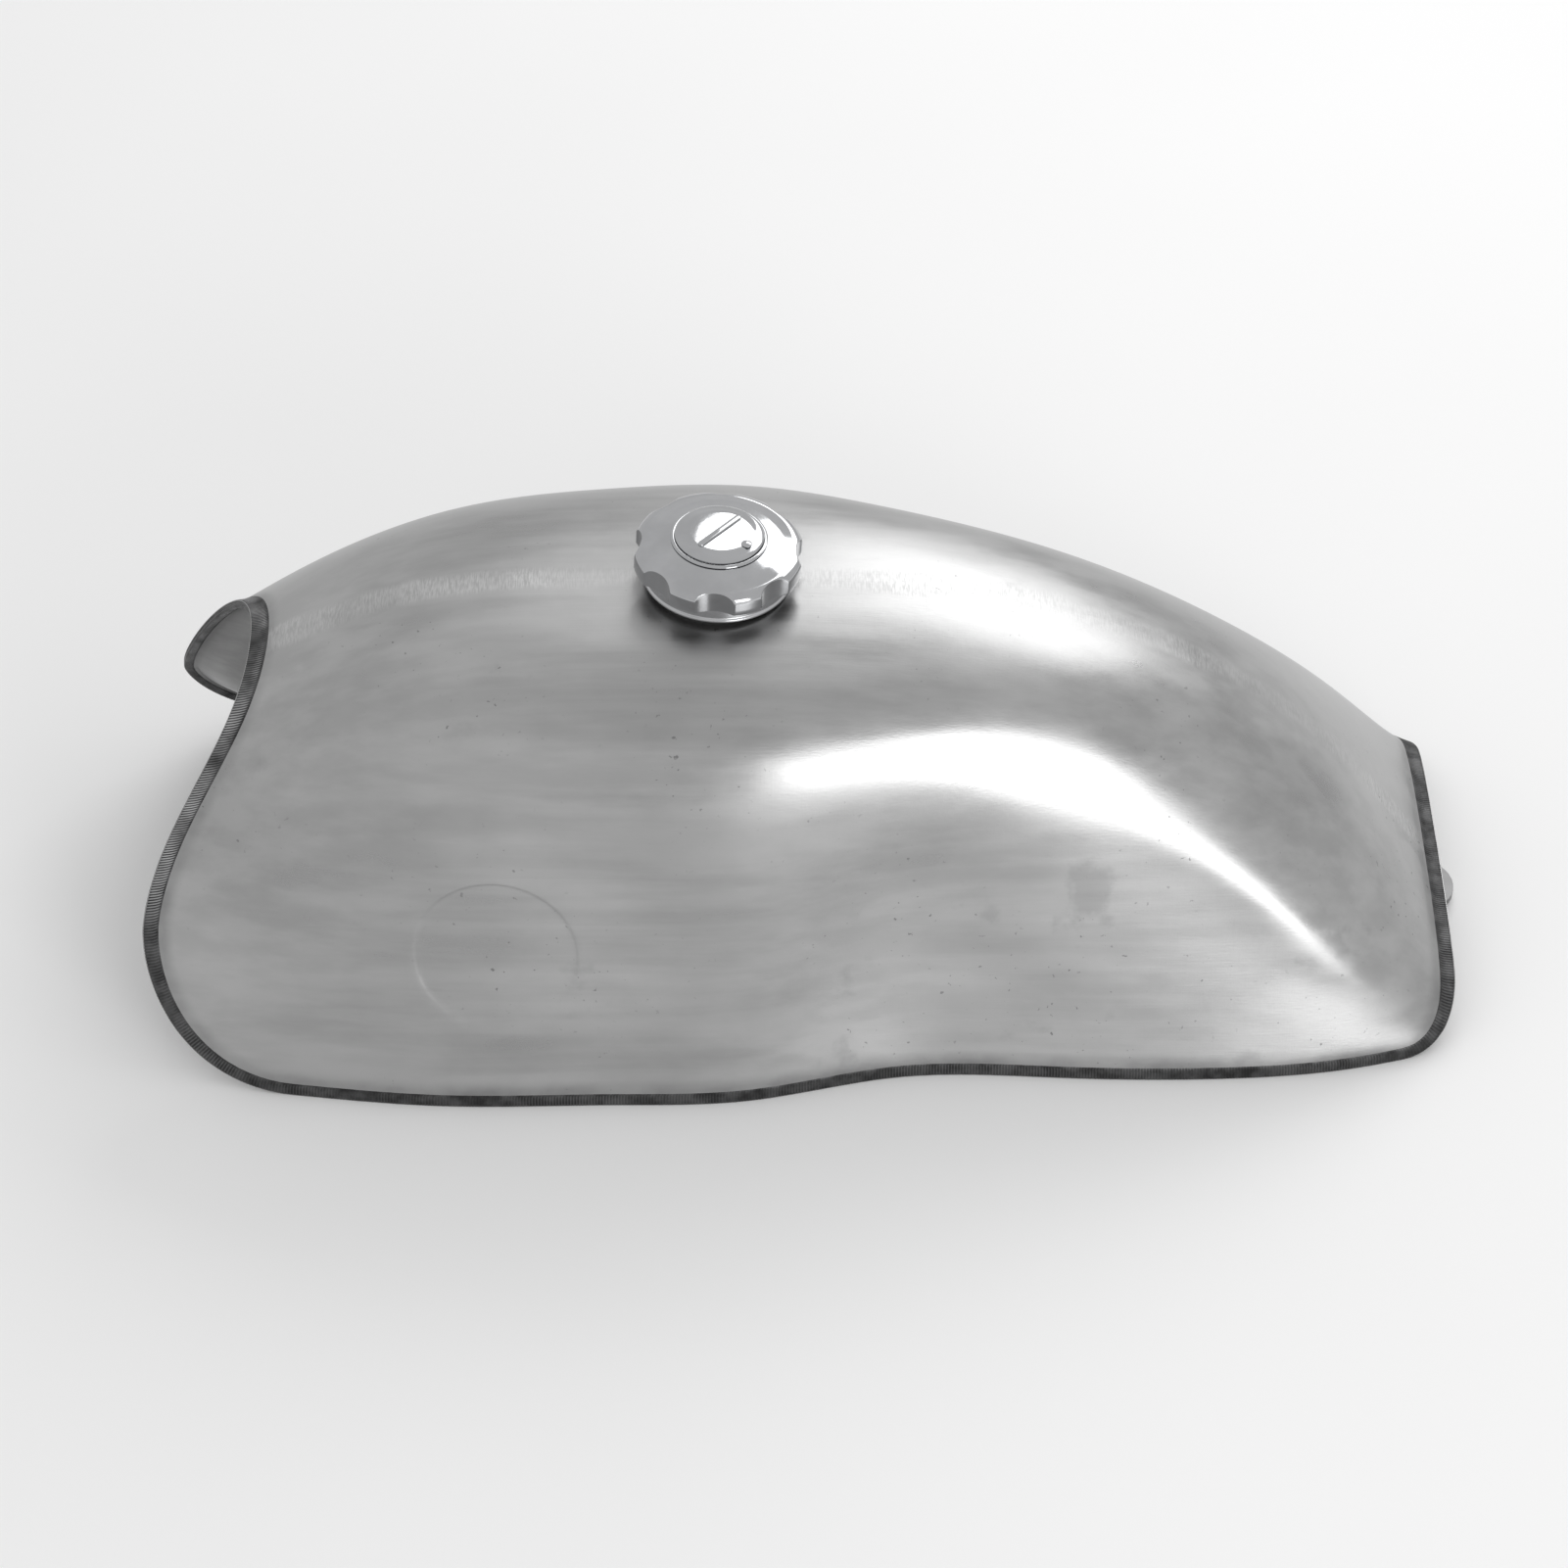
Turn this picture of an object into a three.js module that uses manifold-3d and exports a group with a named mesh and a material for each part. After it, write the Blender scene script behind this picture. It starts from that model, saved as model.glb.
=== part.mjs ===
// Fuel tank for a small cafe-racer motorcycle, with its locking bayonet filler cap.
// Millimetres, +Z up. -X is the steering-head end, +X the seat end, Y = 0 the plane of symmetry.
// The tank stands on the rims of its two side flanges, so Z = 0 is the bench.

import * as THREE from 'three';
import { mergeVertices } from 'three/addons/utils/BufferGeometryUtils.js';
import Module from 'manifold-3d';

// ---------------------------------------------------------------- driving dimensions

const SHEET = 1.2;              // pressed steel sheet of the shells and the pan
const GAP = 0.3;                // play between pieces that touch
const RIM_GAP = 0.4;            // play between the two sheets of the welded rim
const FLANGE = 6;               // width of the roller-welded flange all round the rim
const RIM_Z = FLANGE;           // height of the bend line above the bench along the sides
const FLANGE_DROOP = 0.12;      // the flange points a little downward at both arches

// Ribs of the outer skin, one per station x: the poles of a cubic B-spline from the crown
// (y = 0) over flank, shoulder, ridge and waist down to the bend line of the flange.
const SKIN_RIBS = [
  [-250, [[0, 113], [22, 113], [48, 104], [68, 76], [86, 50], [98, 24], [106, RIM_Z]]],
  [-200, [[0, 143], [30, 143], [62, 131], [81, 96], [95, 62], [106, 30], [112.5, RIM_Z]]],
  [-145, [[0, 164], [42, 164], [75, 147], [90, 108], [101, 68], [111, 34], [118, RIM_Z]]],
  [-80, [[0, 169], [52, 169], [83, 151], [94, 112], [102, 69], [111, 34], [117.5, RIM_Z]]],
  [-25, [[0, 169], [54, 169], [84, 151], [94, 113], [101, 70], [107, 36], [115, RIM_Z]]],
  [30, [[0, 166.5], [50, 166.5], [74, 142], [81, 117], [83, 87], [90, 43], [103, RIM_Z]]],
  [95, [[0, 153], [43, 153], [63, 126], [74, 103], [79.4, 77], [90.8, 39.5], [103, RIM_Z]]],
  [160, [[0, 121], [33, 121], [71, 91], [77, 73], [83.5, 54.5], [93.3, 30.8], [103.5, RIM_Z]]],
  [215, [[0, 70], [30, 70], [66, 55], [84, 35], [86, 27], [92, 16.5], [97, RIM_Z]]],
  [250, [[0, 20], [35, 20], [60, 18], [72, 15], [79, 11], [84, 8], [87, RIM_Z]]],
];

const FRONT_TIP_X = -254;       // foremost point of the bend line
const FRONT_TIP_Z = 57;
const FRONT_CORNER_R = 51;      // round lower front corner, seen from the side
const FRONT_ARCH_X = -210;      // bend line at the top of the front arch
const FRONT_ARCH_Z = 140;
const FRONT_ARCH_POWER = 1.5;
const REAR_X = 246;             // bend line of the low rear arch
const REAR_CORNER_R = 16;

// The tunnel over the frame's backbone tube: half width and height of its roof at each station.
const TUNNEL = [
  [-250, 50, 138],
  [-200, 46, 118],
  [-140, 41, 84],
  [-60, 36, 70],
  [60, 34, 60],
  [160, 34, 40],
  [250, 36, 17],
];
const FLOOR_Z = 9;              // underside floor beside the tunnel
const FRONT_BLEND = 0.34;       // share of the length over which the front arch becomes the tunnel
const REAR_BLEND = 0.14;        // the same at the rear arch
const EDGE_BLEND = 0.2;         // share of the section over which the floor rises to the rim

const LENGTH_STEPS = 24;        // even: facets of the sheets along the tank
const SECTION_STEPS = 16;       // facets from the crown to the rim

// Filler cap: its axis leans toward the seat; heights below are along that axis from the skin.
const CAP_X = -38;
const CAP_Z = 169;
const CAP_LEAN = THREE.MathUtils.degToRad(3);
const NECK_R = 25.2;
const NECK_WALL = 1.6;
const LIP_R = 20.6;             // clear opening of the neck's inward lip
const LIP_TOP = 4;
const LIP = 1.8;
const NECK_FOOT_R = 31;
const NECK_FOOT_Z = -6.2;
const GRIP_R = 32.5;
const GRIP_BOTTOM = 8;
const GRIP_WALL = 1.2;
const GRIP_HOLLOW_R = 30.7;
const SCALLOPS = 8;
const SCALLOP_DEPTH = 3;
const SCALLOP_HALF_ANGLE = THREE.MathUtils.degToRad(13);
const SCALLOP_START = THREE.MathUtils.degToRad(268);
const SKIRT_R = 28;
const SKIRT_BOTTOM = 1.6;
const SKIRT_TOP = 11.1;
const SKIRT_WALL = 0.8;
const DOME_TOP = 19.4;
const BEZEL_R = 16.6;           // sleeve of the bezel in the grip's opening
const COVER_R = 17;
const COVER_BOTTOM = 20.5;
const COVER_TOP = 22.7;
const RIB_ANGLE = THREE.MathUtils.degToRad(50);
const RIVET_CIRCLE = 12.4;      // distance of the cover's rivet from the cap axis
const RIVET_ANGLE = THREE.MathUtils.degToRad(-34);
const HOUSING_R = 11;
const HOUSING_FLANGE_R = 15.4;
const HOUSING_TOP = 16.8;
const BARREL_R = 6;
const BARREL_TOP = 18.6;
const KEYWAY_DEPTH = 9;
const WING_R = 23;
const WING_WIDTH = 14;
const PLATE_BOTTOM = -2.8;
const PLATE_TOP = -0.8;
const BOLT_BOTTOM = -0.2;
const BOLT_TOP = 1.5;
const BOLT_WIDTH = 7;
const BOLT_REACH = 19;          // tip of the drawn-in bolt
const CRANK_R = 2.83;           // a quarter turn of the barrel moves the bolt 4 mm
const CRANK_ANGLE = THREE.MathUtils.degToRad(135);
const CAM_BOTTOM = 2.1;
const CAM_TOP = 2.9;
const LUG_ANGLE = THREE.MathUtils.degToRad(-44);
const CAP_SCREW_CIRCLE = 8.8;
const CAP_SCREW_ANGLES = [100, 180, 260];
const CAP_SCREW_HOLE_R = 1.6;
const GASKET_THICK = 2;
const CARRIER_BOTTOM = LIP_TOP + 2 * GAP + GASKET_THICK;
const CARRIER_TOP = CARRIER_BOTTOM + 1;

// Fittings under the tank.
const CUP_X = -128;             // middle of the two front rubber cups
const CUP_Y = 27.5;
const CUP_Z = 50;
const CUP_LENGTH = 40;
const CUP_BORE_R = 11;
const CUP_WALL = 2;
const CUP_LIP = 8;
const CUP_TOE = THREE.MathUtils.degToRad(8.5);
const TONGUE_END_X = 260;
const TONGUE_WIDTH = 30;
const TONGUE_THICK = 3;
const TONGUE_Z = 2.6;
const TONGUE_ROOF = [[186, 31], [208, 26.6], [216, 0]];
const TONGUE_HOLE_R = 5.5;
const BUNG_X = 150;
const BUNG_Y = -64;
const BUNG_R = 11;
const BUNG_FACE_R = 15;
const BUNG_FACE_Z = 3;
const BUNG_FACE = 3;
const BUNG_TOP = 13.5;
const BUNG_BORE_R = 7.5;

// ---------------------------------------------------------------- materials

const bareSteel = { color: 0x9a9b9c, roughness: 0.42, metalness: 1 };
const seamSteel = { color: 0x8b8c8d, roughness: 0.5, metalness: 1 };
const chrome = { color: 0xd8dadc, roughness: 0.06, metalness: 1 };
const zincPlate = { color: 0xb4b3ac, roughness: 0.35, metalness: 1 };
const castZinc = { color: 0x8d8e90, roughness: 0.55, metalness: 0.9 };
const brass = { color: 0xc2a25a, roughness: 0.3, metalness: 1 };
const blackRubber = { color: 0x18181a, roughness: 0.85, metalness: 0 };
const springSteel = { color: 0x77797c, roughness: 0.35, metalness: 1 };

const tank = new THREE.Group();
const cap = new THREE.Group();
cap.position.set(CAP_X, 0, CAP_Z);
cap.rotation.y = CAP_LEAN;
tank.add(cap);

function addPiece(parent, name, geometry, look) {
  const mesh = new THREE.Mesh(geometry, new THREE.MeshStandardMaterial(look));
  mesh.name = name;
  parent.add(mesh);
  return mesh;
}

// ---------------------------------------------------------------- solids

const wasm = await Module();
wasm.setup();

// Shared corners merged, flattened triangles dropped, faces pointing out.
function welded(geometry) {
  const bare = geometry.clone();
  bare.deleteAttribute('normal');
  bare.deleteAttribute('uv');
  const merged = mergeVertices(bare, 1e-3);
  const all = merged.index.array;
  const index = [];
  for (let k = 0; k < all.length; k += 3) {
    const [a, b, c] = [all[k], all[k + 1], all[k + 2]];
    if (a !== b && b !== c && c !== a) index.push(a, b, c);
  }
  merged.setIndex(index);
  return facingOut(merged);
}

function facingOut(geometry) {
  const p = geometry.attributes.position;
  const index = geometry.index.array;
  const [a, b, c] = [new THREE.Vector3(), new THREE.Vector3(), new THREE.Vector3()];
  let volume = 0;
  for (let k = 0; k < index.length; k += 3) {
    a.fromBufferAttribute(p, index[k]);
    b.fromBufferAttribute(p, index[k + 1]);
    c.fromBufferAttribute(p, index[k + 2]);
    volume += a.dot(b.cross(c));
  }
  if (volume < 0) {
    for (let k = 0; k < index.length; k += 3) {
      [index[k + 1], index[k + 2]] = [index[k + 2], index[k + 1]];
    }
  }
  geometry.computeVertexNormals();
  return geometry;
}

function mirrored(geometry) {
  const copy = geometry.clone();
  copy.scale(1, -1, 1);
  return welded(copy);
}

function toSolid(geometry) {
  const clean = welded(geometry);
  return new wasm.Manifold(new wasm.Mesh({
    numProp: 3,
    vertProperties: new Float32Array(clean.attributes.position.array),
    triVerts: new Uint32Array(clean.index.array),
  }));
}

function fromSolid(solid) {
  const mesh = solid.getMesh();
  const geometry = new THREE.BufferGeometry();
  geometry.setAttribute('position', new THREE.BufferAttribute(mesh.vertProperties, 3));
  geometry.setIndex(new THREE.BufferAttribute(mesh.triVerts, 1));
  geometry.computeVertexNormals();
  return geometry;
}

function join(first, ...others) {
  return fromSolid(others.reduce((sum, other) => sum.add(toSolid(other)), toSolid(first)));
}

function common(first, second) {
  return fromSolid(toSolid(first).intersect(toSolid(second)));
}

function cut(body, ...tools) {
  return fromSolid(tools.reduce((rest, tool) => rest.subtract(toSolid(tool)), toSolid(body)));
}

// A disc, tube or stepped ring turned about Z. A profile that starts off the axis closes on itself.
function turned(profile, segments = 32) {
  const points = profile.map(([r, z]) => new THREE.Vector2(r, z));
  if (profile[0][0] > 0) points.push(points[0].clone());
  const geometry = new THREE.LatheGeometry(points, segments);
  geometry.rotateX(Math.PI / 2);
  return welded(geometry);
}

function cylinder(r, bottom, top, x = 0, y = 0, segments = 20) {
  const geometry = new THREE.CylinderGeometry(r, r, top - bottom, segments);
  geometry.rotateX(Math.PI / 2);
  geometry.translate(x, y, (bottom + top) / 2);
  return geometry;
}

function box(x0, x1, y0, y1, z0, z1) {
  const geometry = new THREE.BoxGeometry(x1 - x0, y1 - y0, z1 - z0);
  geometry.translate((x0 + x1) / 2, (y0 + y1) / 2, (z0 + z1) / 2);
  return geometry;
}

function polar(r, angle) {
  return [r * Math.cos(angle), r * Math.sin(angle)];
}

// ---------------------------------------------------------------- smooth curves through ribs

// Natural cubic spline through points of any dimension: returns x => [value, ...].
function naturalSpline(xs, rows) {
  const n = xs.length;
  const size = rows[0].length;
  const bend = rows.map(() => new Array(size).fill(0));
  const upper = new Array(n).fill(0);
  for (let k = 0; k < size; k++) {
    const carry = new Array(n).fill(0);
    for (let i = 1; i < n - 1; i++) {
      const before = xs[i] - xs[i - 1];
      const after = xs[i + 1] - xs[i];
      const slopeChange = (rows[i + 1][k] - rows[i][k]) / after - (rows[i][k] - rows[i - 1][k]) / before;
      const pivot = 2 * (before + after) - before * upper[i - 1];
      upper[i] = after / pivot;
      carry[i] = (6 * slopeChange - before * carry[i - 1]) / pivot;
    }
    for (let i = n - 2; i > 0; i--) bend[i][k] = carry[i] - upper[i] * bend[i + 1][k];
  }
  return (x) => {
    let i = 0;
    while (i < n - 2 && x > xs[i + 1]) i++;
    const h = xs[i + 1] - xs[i];
    const a = (xs[i + 1] - x) / h;
    const b = 1 - a;
    return rows[i].map((value, k) => a * value + b * rows[i + 1][k]
      + ((a ** 3 - a) * bend[i][k] + (b ** 3 - b) * bend[i + 1][k]) * h * h / 6);
  };
}

// Clamped uniform cubic B-spline over a rib's seven poles, 0 <= t <= 1.
const POLES = 7;
const KNOTS = [0, 0, 0, 0, 0.25, 0.5, 0.75, 1, 1, 1, 1];

function poleWeights(t) {
  const s = Math.min(Math.max(t, 0), 1 - 1e-9);
  let weights = KNOTS.slice(0, -1).map((knot, i) => (knot <= s && s < KNOTS[i + 1] ? 1 : 0));
  for (let degree = 1; degree <= 3; degree++) {
    weights = weights.slice(0, -1).map((weight, i) => {
      const rise = KNOTS[i + degree] - KNOTS[i];
      const fall = KNOTS[i + degree + 1] - KNOTS[i + 1];
      const left = rise > 0 ? (s - KNOTS[i]) / rise * weight : 0;
      const right = fall > 0 ? (KNOTS[i + degree + 1] - s) / fall * weights[i + 1] : 0;
      return left + right;
    });
  }
  return weights;
}

function pointOnRib(poles, t) {
  const weights = poleWeights(t);
  let y = 0;
  let z = 0;
  for (let i = 0; i < POLES; i++) {
    y += weights[i] * poles[2 * i];
    z += weights[i] * poles[2 * i + 1];
  }
  return [y, z];
}

const skinPoles = naturalSpline(SKIN_RIBS.map((rib) => rib[0]), SKIN_RIBS.map((rib) => rib[1].flat()));

function skinAt(x, t) {
  const [y, z] = pointOnRib(skinPoles(x), t);
  return new THREE.Vector3(x, y, z);
}

// ---------------------------------------------------------------- outline seen from the side

function frontX(z) {
  if (z > FRONT_TIP_Z) {
    const rise = Math.min((z - FRONT_TIP_Z) / (FRONT_ARCH_Z - FRONT_TIP_Z), 1.2);
    return FRONT_TIP_X + (FRONT_ARCH_X - FRONT_TIP_X) * rise ** FRONT_ARCH_POWER;
  }
  const drop = Math.min((FRONT_TIP_Z - z) / (FRONT_TIP_Z - RIM_Z), 1);
  return FRONT_TIP_X + FRONT_CORNER_R * (1 - Math.sqrt(1 - drop * drop));
}

function rearX(z) {
  const drop = Math.min(Math.max((RIM_Z + REAR_CORNER_R - z) / REAR_CORNER_R, 0), 1);
  return REAR_X - REAR_CORNER_R * (1 - Math.sqrt(1 - drop * drop));
}

// Where the section line t meets an end outline.
function endX(outline, start, t) {
  let x = start;
  for (let pass = 0; pass < 12; pass++) x = 0.5 * (x + outline(skinAt(x, t).z));
  return x;
}

function skinPoint(u, t) {
  const from = endX(frontX, FRONT_TIP_X, t);
  const to = endX(rearX, REAR_X, t);
  return skinAt(from + (to - from) * u, t);
}

// ---------------------------------------------------------------- grids of the right half

function gridNormal(surface, u, t) {
  const step = 1e-3;
  const alongU = surface(Math.min(u + step, 1), t).sub(surface(Math.max(u - step, 0), t));
  const alongT = surface(u, Math.min(t + step, 1)).sub(surface(u, Math.max(t - step, 0)));
  return alongT.cross(alongU).negate().normalize();
}

const uSteps = Array.from({ length: LENGTH_STEPS + 1 }, (_, i) => i / LENGTH_STEPS);
const tSteps = Array.from({ length: SECTION_STEPS + 1 }, (_, j) => j / SECTION_STEPS);

function sampleGrid(surface) {
  return uSteps.map((u) => tSteps.map((t) => surface(u, t)));
}

// The rim runs down the front arch, back along the side and up the rear arch.
function rimOf(grid) {
  const lastU = LENGTH_STEPS;
  const lastT = SECTION_STEPS;
  return [
    ...tSteps.map((_, j) => grid[0][j]),
    ...uSteps.slice(1).map((_, i) => grid[i + 1][lastT]),
    ...tSteps.slice(1).map((_, j) => grid[lastU][lastT - 1 - j]),
  ];
}

function mitre(first, second) {
  return first.clone().add(second).divideScalar(1 + first.dot(second));
}

const skin = sampleGrid(skinPoint);
const skinNormals = uSteps.map((u) => tSteps.map((t) => gridNormal(skinPoint, u, t)));
for (const row of skinNormals) row[0].setY(0).normalize();
const crownNormal = skinNormals[LENGTH_STEPS / 2][0];
if (crownNormal.z < 0) skinNormals.flat().forEach((normal) => normal.negate());

const rim = rimOf(skin);
const rimNormals = rimOf(skinNormals);

function rimTangent(k) {
  return rim[Math.min(k + 1, rim.length - 1)].clone().sub(rim[Math.max(k - 1, 0)]).normalize();
}

// The flange leaves the rim square to the side outline and has no sideways slant.
const flangeOut = rim.map((_, k) => {
  const along = rimTangent(k);
  const out = new THREE.Vector3(along.z, 0, -along.x);
  if (k === 0) out.set(-1, 0, 0);
  if (k === rim.length - 1) out.set(1, 0, 0);
  out.normalize();
  out.z = Math.min(out.z, -FLANGE_DROOP);
  return out.normalize();
});
const flangeNormals = rim.map((_, k) => {
  const normal = rimTangent(k).cross(flangeOut[k]).normalize();
  if (k === 0 || k === rim.length - 1) normal.setY(0).normalize();
  return normal.dot(rimNormals[k]) < 0 ? normal.negate() : normal;
});

function rimIndex(i, j) {
  if (i === 0) return j;
  if (i === LENGTH_STEPS) return 2 * SECTION_STEPS + LENGTH_STEPS - j;
  return SECTION_STEPS + i;
}

// One face of the sheet with its flange: rows -1 .. LENGTH_STEPS + 1, columns 0 .. SECTION_STEPS + 1.
function sheetFace(gridPoint, flangePoint) {
  const rows = [];
  for (let i = -1; i <= LENGTH_STEPS + 1; i++) {
    const row = [];
    for (let j = 0; j <= SECTION_STEPS + 1; j++) {
      const inI = Math.min(Math.max(i, 0), LENGTH_STEPS);
      const inJ = Math.min(j, SECTION_STEPS);
      const onGrid = inI === i && inJ === j;
      row.push(onGrid ? gridPoint(i, j) : flangePoint(rimIndex(inI, inJ)));
    }
    rows.push(row);
  }
  return rows;
}

// A closed sheet between two faces with the same rows and columns.
function sheetGeometry(outer, inner) {
  const corners = [];
  const quad = (a, b, c, d) => {
    if (a.distanceTo(c) <= b.distanceTo(d)) corners.push(a, b, c, a, c, d);
    else corners.push(a, b, d, b, c, d);
  };
  const last = outer.length - 1;
  const lastJ = outer[0].length - 1;
  for (let i = 0; i < last; i++) {
    for (let j = 0; j < lastJ; j++) {
      quad(outer[i][j], outer[i + 1][j], outer[i + 1][j + 1], outer[i][j + 1]);
      quad(inner[i][j], inner[i][j + 1], inner[i + 1][j + 1], inner[i + 1][j]);
    }
    quad(outer[i][0], inner[i][0], inner[i + 1][0], outer[i + 1][0]);
    quad(outer[i][lastJ], outer[i + 1][lastJ], inner[i + 1][lastJ], inner[i][lastJ]);
  }
  for (let j = 0; j < lastJ; j++) {
    quad(outer[0][j], outer[0][j + 1], inner[0][j + 1], inner[0][j]);
    quad(outer[last][j], inner[last][j], inner[last][j + 1], outer[last][j + 1]);
  }
  const loose = new THREE.BufferGeometry();
  const positions = new Float32Array(corners.flatMap((p) => [p.x, p.y, p.z]));
  loose.setAttribute('position', new THREE.BufferAttribute(positions, 3));
  return welded(loose);
}

// ---------------------------------------------------------------- outer shells

function offsetSkin(depth) {
  const face = sheetFace(
    (i, j) => {
      const normal = skinNormals[i][j];
      const onRim = i === 0 || i === LENGTH_STEPS || j === SECTION_STEPS;
      const shift = onRim ? mitre(normal, flangeNormals[rimIndex(i, j)]) : normal;
      return skin[i][j].clone().addScaledVector(shift, -depth);
    },
    (k) => rim[k].clone().addScaledVector(flangeOut[k], FLANGE).addScaledVector(flangeNormals[k], -depth),
  );
  for (const row of face) row[0].setY(GAP / 2);
  return face;
}

const halfShell = sheetGeometry(offsetSkin(0), offsetSkin(SHEET));
const fillerHole = cylinder(NECK_R + GAP, -30, 30, 0, 0, 48);
fillerHole.rotateY(CAP_LEAN);
fillerHole.translate(CAP_X, 0, CAP_Z);
addPiece(tank, 'right_shell', cut(halfShell, fillerHole), bareSteel);
addPiece(tank, 'left_shell', cut(mirrored(halfShell), fillerHole), bareSteel);

// ---------------------------------------------------------------- bottom pan with the tunnel

const tunnelSize = naturalSpline(TUNNEL.map((row) => row[0]), TUNNEL.map((row) => row.slice(1)));

function panAt(x, t) {
  const [width, roof] = tunnelSize(x);
  const edge = skinAt(x, 1).y;
  const poles = [
    [0, roof], [0.6 * width, roof], [width, roof - 2], [width + 2, 0.5 * (roof + FLOOR_Z)],
    [width + 5, FLOOR_Z], [0.5 * (width + edge), FLOOR_Z], [edge, FLOOR_Z],
  ];
  const [y, z] = pointOnRib(poles.flat(), t);
  return new THREE.Vector3(x, y, z);
}

const panRim = rim.map((point, k) => point.clone()
  .addScaledVector(mitre(rimNormals[k], flangeNormals[k]), -(SHEET + RIM_GAP)));

function fade(distance) {
  return distance >= 1 ? 0 : (1 - distance) ** 2;
}

// The plain tunnel section is pulled onto the rim at the front arch, the sides and the rear arch.
function panGrid() {
  const plain = skin.map((row) => row.map((point, j) => panAt(point.x, tSteps[j])));
  const pull = (i, j) => panRim[rimIndex(i, j)].clone().sub(plain[i][j]);
  return plain.map((row, i) => row.map((point, j) => {
    const nearFront = fade(uSteps[i] / FRONT_BLEND);
    const nearRear = fade((1 - uSteps[i]) / REAR_BLEND);
    const nearEdge = fade((1 - tSteps[j]) / EDGE_BLEND);
    const front = pull(0, j).multiplyScalar(nearFront);
    const rear = pull(LENGTH_STEPS, j).multiplyScalar(nearRear);
    const side = pull(i, SECTION_STEPS)
      .addScaledVector(pull(0, SECTION_STEPS), -nearFront)
      .addScaledVector(pull(LENGTH_STEPS, SECTION_STEPS), -nearRear)
      .multiplyScalar(nearEdge);
    return point.clone().add(front).add(rear).add(side);
  }));
}

const pan = panGrid();
const panNormals = pan.map((row, i) => row.map((_, j) => {
  const alongU = pan[Math.min(i + 1, LENGTH_STEPS)][j].clone().sub(pan[Math.max(i - 1, 0)][j]);
  const alongT = row[Math.min(j + 1, SECTION_STEPS)].clone().sub(row[Math.max(j - 1, 0)]);
  const normal = alongU.cross(alongT);
  if (j === 0) normal.setY(0);
  return normal.normalize();
}));

function panFace(depth) {
  return sheetFace(
    (i, j) => {
      const onRim = i === 0 || i === LENGTH_STEPS || j === SECTION_STEPS;
      const shift = onRim ? mitre(panNormals[i][j], flangeNormals[rimIndex(i, j)]) : panNormals[i][j];
      return pan[i][j].clone().addScaledVector(shift, -depth);
    },
    (k) => rim[k].clone().addScaledVector(flangeOut[k], FLANGE)
      .addScaledVector(flangeNormals[k], -(SHEET + RIM_GAP + depth)),
  );
}

function bothSides(face) {
  return face.map((row) => {
    const centred = row.map((point) => point.clone());
    centred[0].y = 0;
    const left = centred.slice(1).reverse().map((point) => new THREE.Vector3(point.x, -point.y, point.z));
    return [...left, ...centred];
  });
}

const panSheet = sheetGeometry(bothSides(panFace(0)), bothSides(panFace(SHEET)));
const bungHole = cylinder(BUNG_R + GAP, -5, 30, BUNG_X, BUNG_Y);
addPiece(tank, 'bottom_pan', cut(panSheet, bungHole), seamSteel);

// ---------------------------------------------------------------- fittings of the tank

// Rolled steel neck: foot under the skin, wall, and an inward lip with two notches for the
// wings of the cap. The lug under the lip stops the lock bolt when the cap is closed.
function fillerNeck() {
  const inner = NECK_R - NECK_WALL;
  const ring = turned([
    [LIP_R, LIP_TOP - LIP], [LIP_R, LIP_TOP], [NECK_R - 1, LIP_TOP], [NECK_R, LIP_TOP - 1],
    [NECK_R, NECK_FOOT_Z + 1.5], [NECK_FOOT_R, NECK_FOOT_Z + 1.5], [NECK_FOOT_R, NECK_FOOT_Z],
    [inner, NECK_FOOT_Z], [inner, LIP_TOP - LIP],
  ], 48);
  const half = (WING_WIDTH + 3) / 2;
  const reach = inner - 0.05;
  const notches = box(-half, half, -reach, reach, LIP_TOP - LIP - 1, LIP_TOP + 1);
  const lug = box(21.4, inner + 0.5, -2, 2, BOLT_BOTTOM - 0.2, LIP_TOP - LIP + 0.5);
  lug.rotateZ(LUG_ANGLE);
  return join(cut(ring, notches), lug);
}

// Places a flat outline drawn in (across, up) so that it is extruded along X.
function alongX(outline, length, curveSegments = 8) {
  const geometry = new THREE.ExtrudeGeometry(outline, { depth: length, bevelEnabled: false, curveSegments });
  const turn = new THREE.Matrix4().makeBasis(
    new THREE.Vector3(0, 1, 0), new THREE.Vector3(0, 0, 1), new THREE.Vector3(1, 0, 0));
  geometry.applyMatrix4(turn);
  geometry.translate(-length / 2, 0, 0);
  return geometry;
}

// Half-round cup on the tunnel wall; it slides over a rubber buffer on the frame.
function mountCup(side) {
  const outer = CUP_BORE_R + CUP_WALL;
  const outline = new THREE.Shape();
  outline.moveTo(-CUP_LIP, -outer);
  outline.lineTo(0, -outer);
  outline.absarc(0, 0, outer, -Math.PI / 2, Math.PI / 2, false);
  outline.lineTo(-CUP_LIP, outer);
  outline.lineTo(-CUP_LIP, CUP_BORE_R);
  outline.lineTo(0, CUP_BORE_R);
  outline.absarc(0, 0, CUP_BORE_R, Math.PI / 2, -Math.PI / 2, true);
  outline.lineTo(-CUP_LIP, -CUP_BORE_R);
  const geometry = alongX(outline, CUP_LENGTH, 10);
  geometry.rotateZ(-CUP_TOE);
  geometry.translate(CUP_X, CUP_Y, CUP_Z);
  return side < 0 ? mirrored(geometry) : welded(geometry);
}

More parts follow.
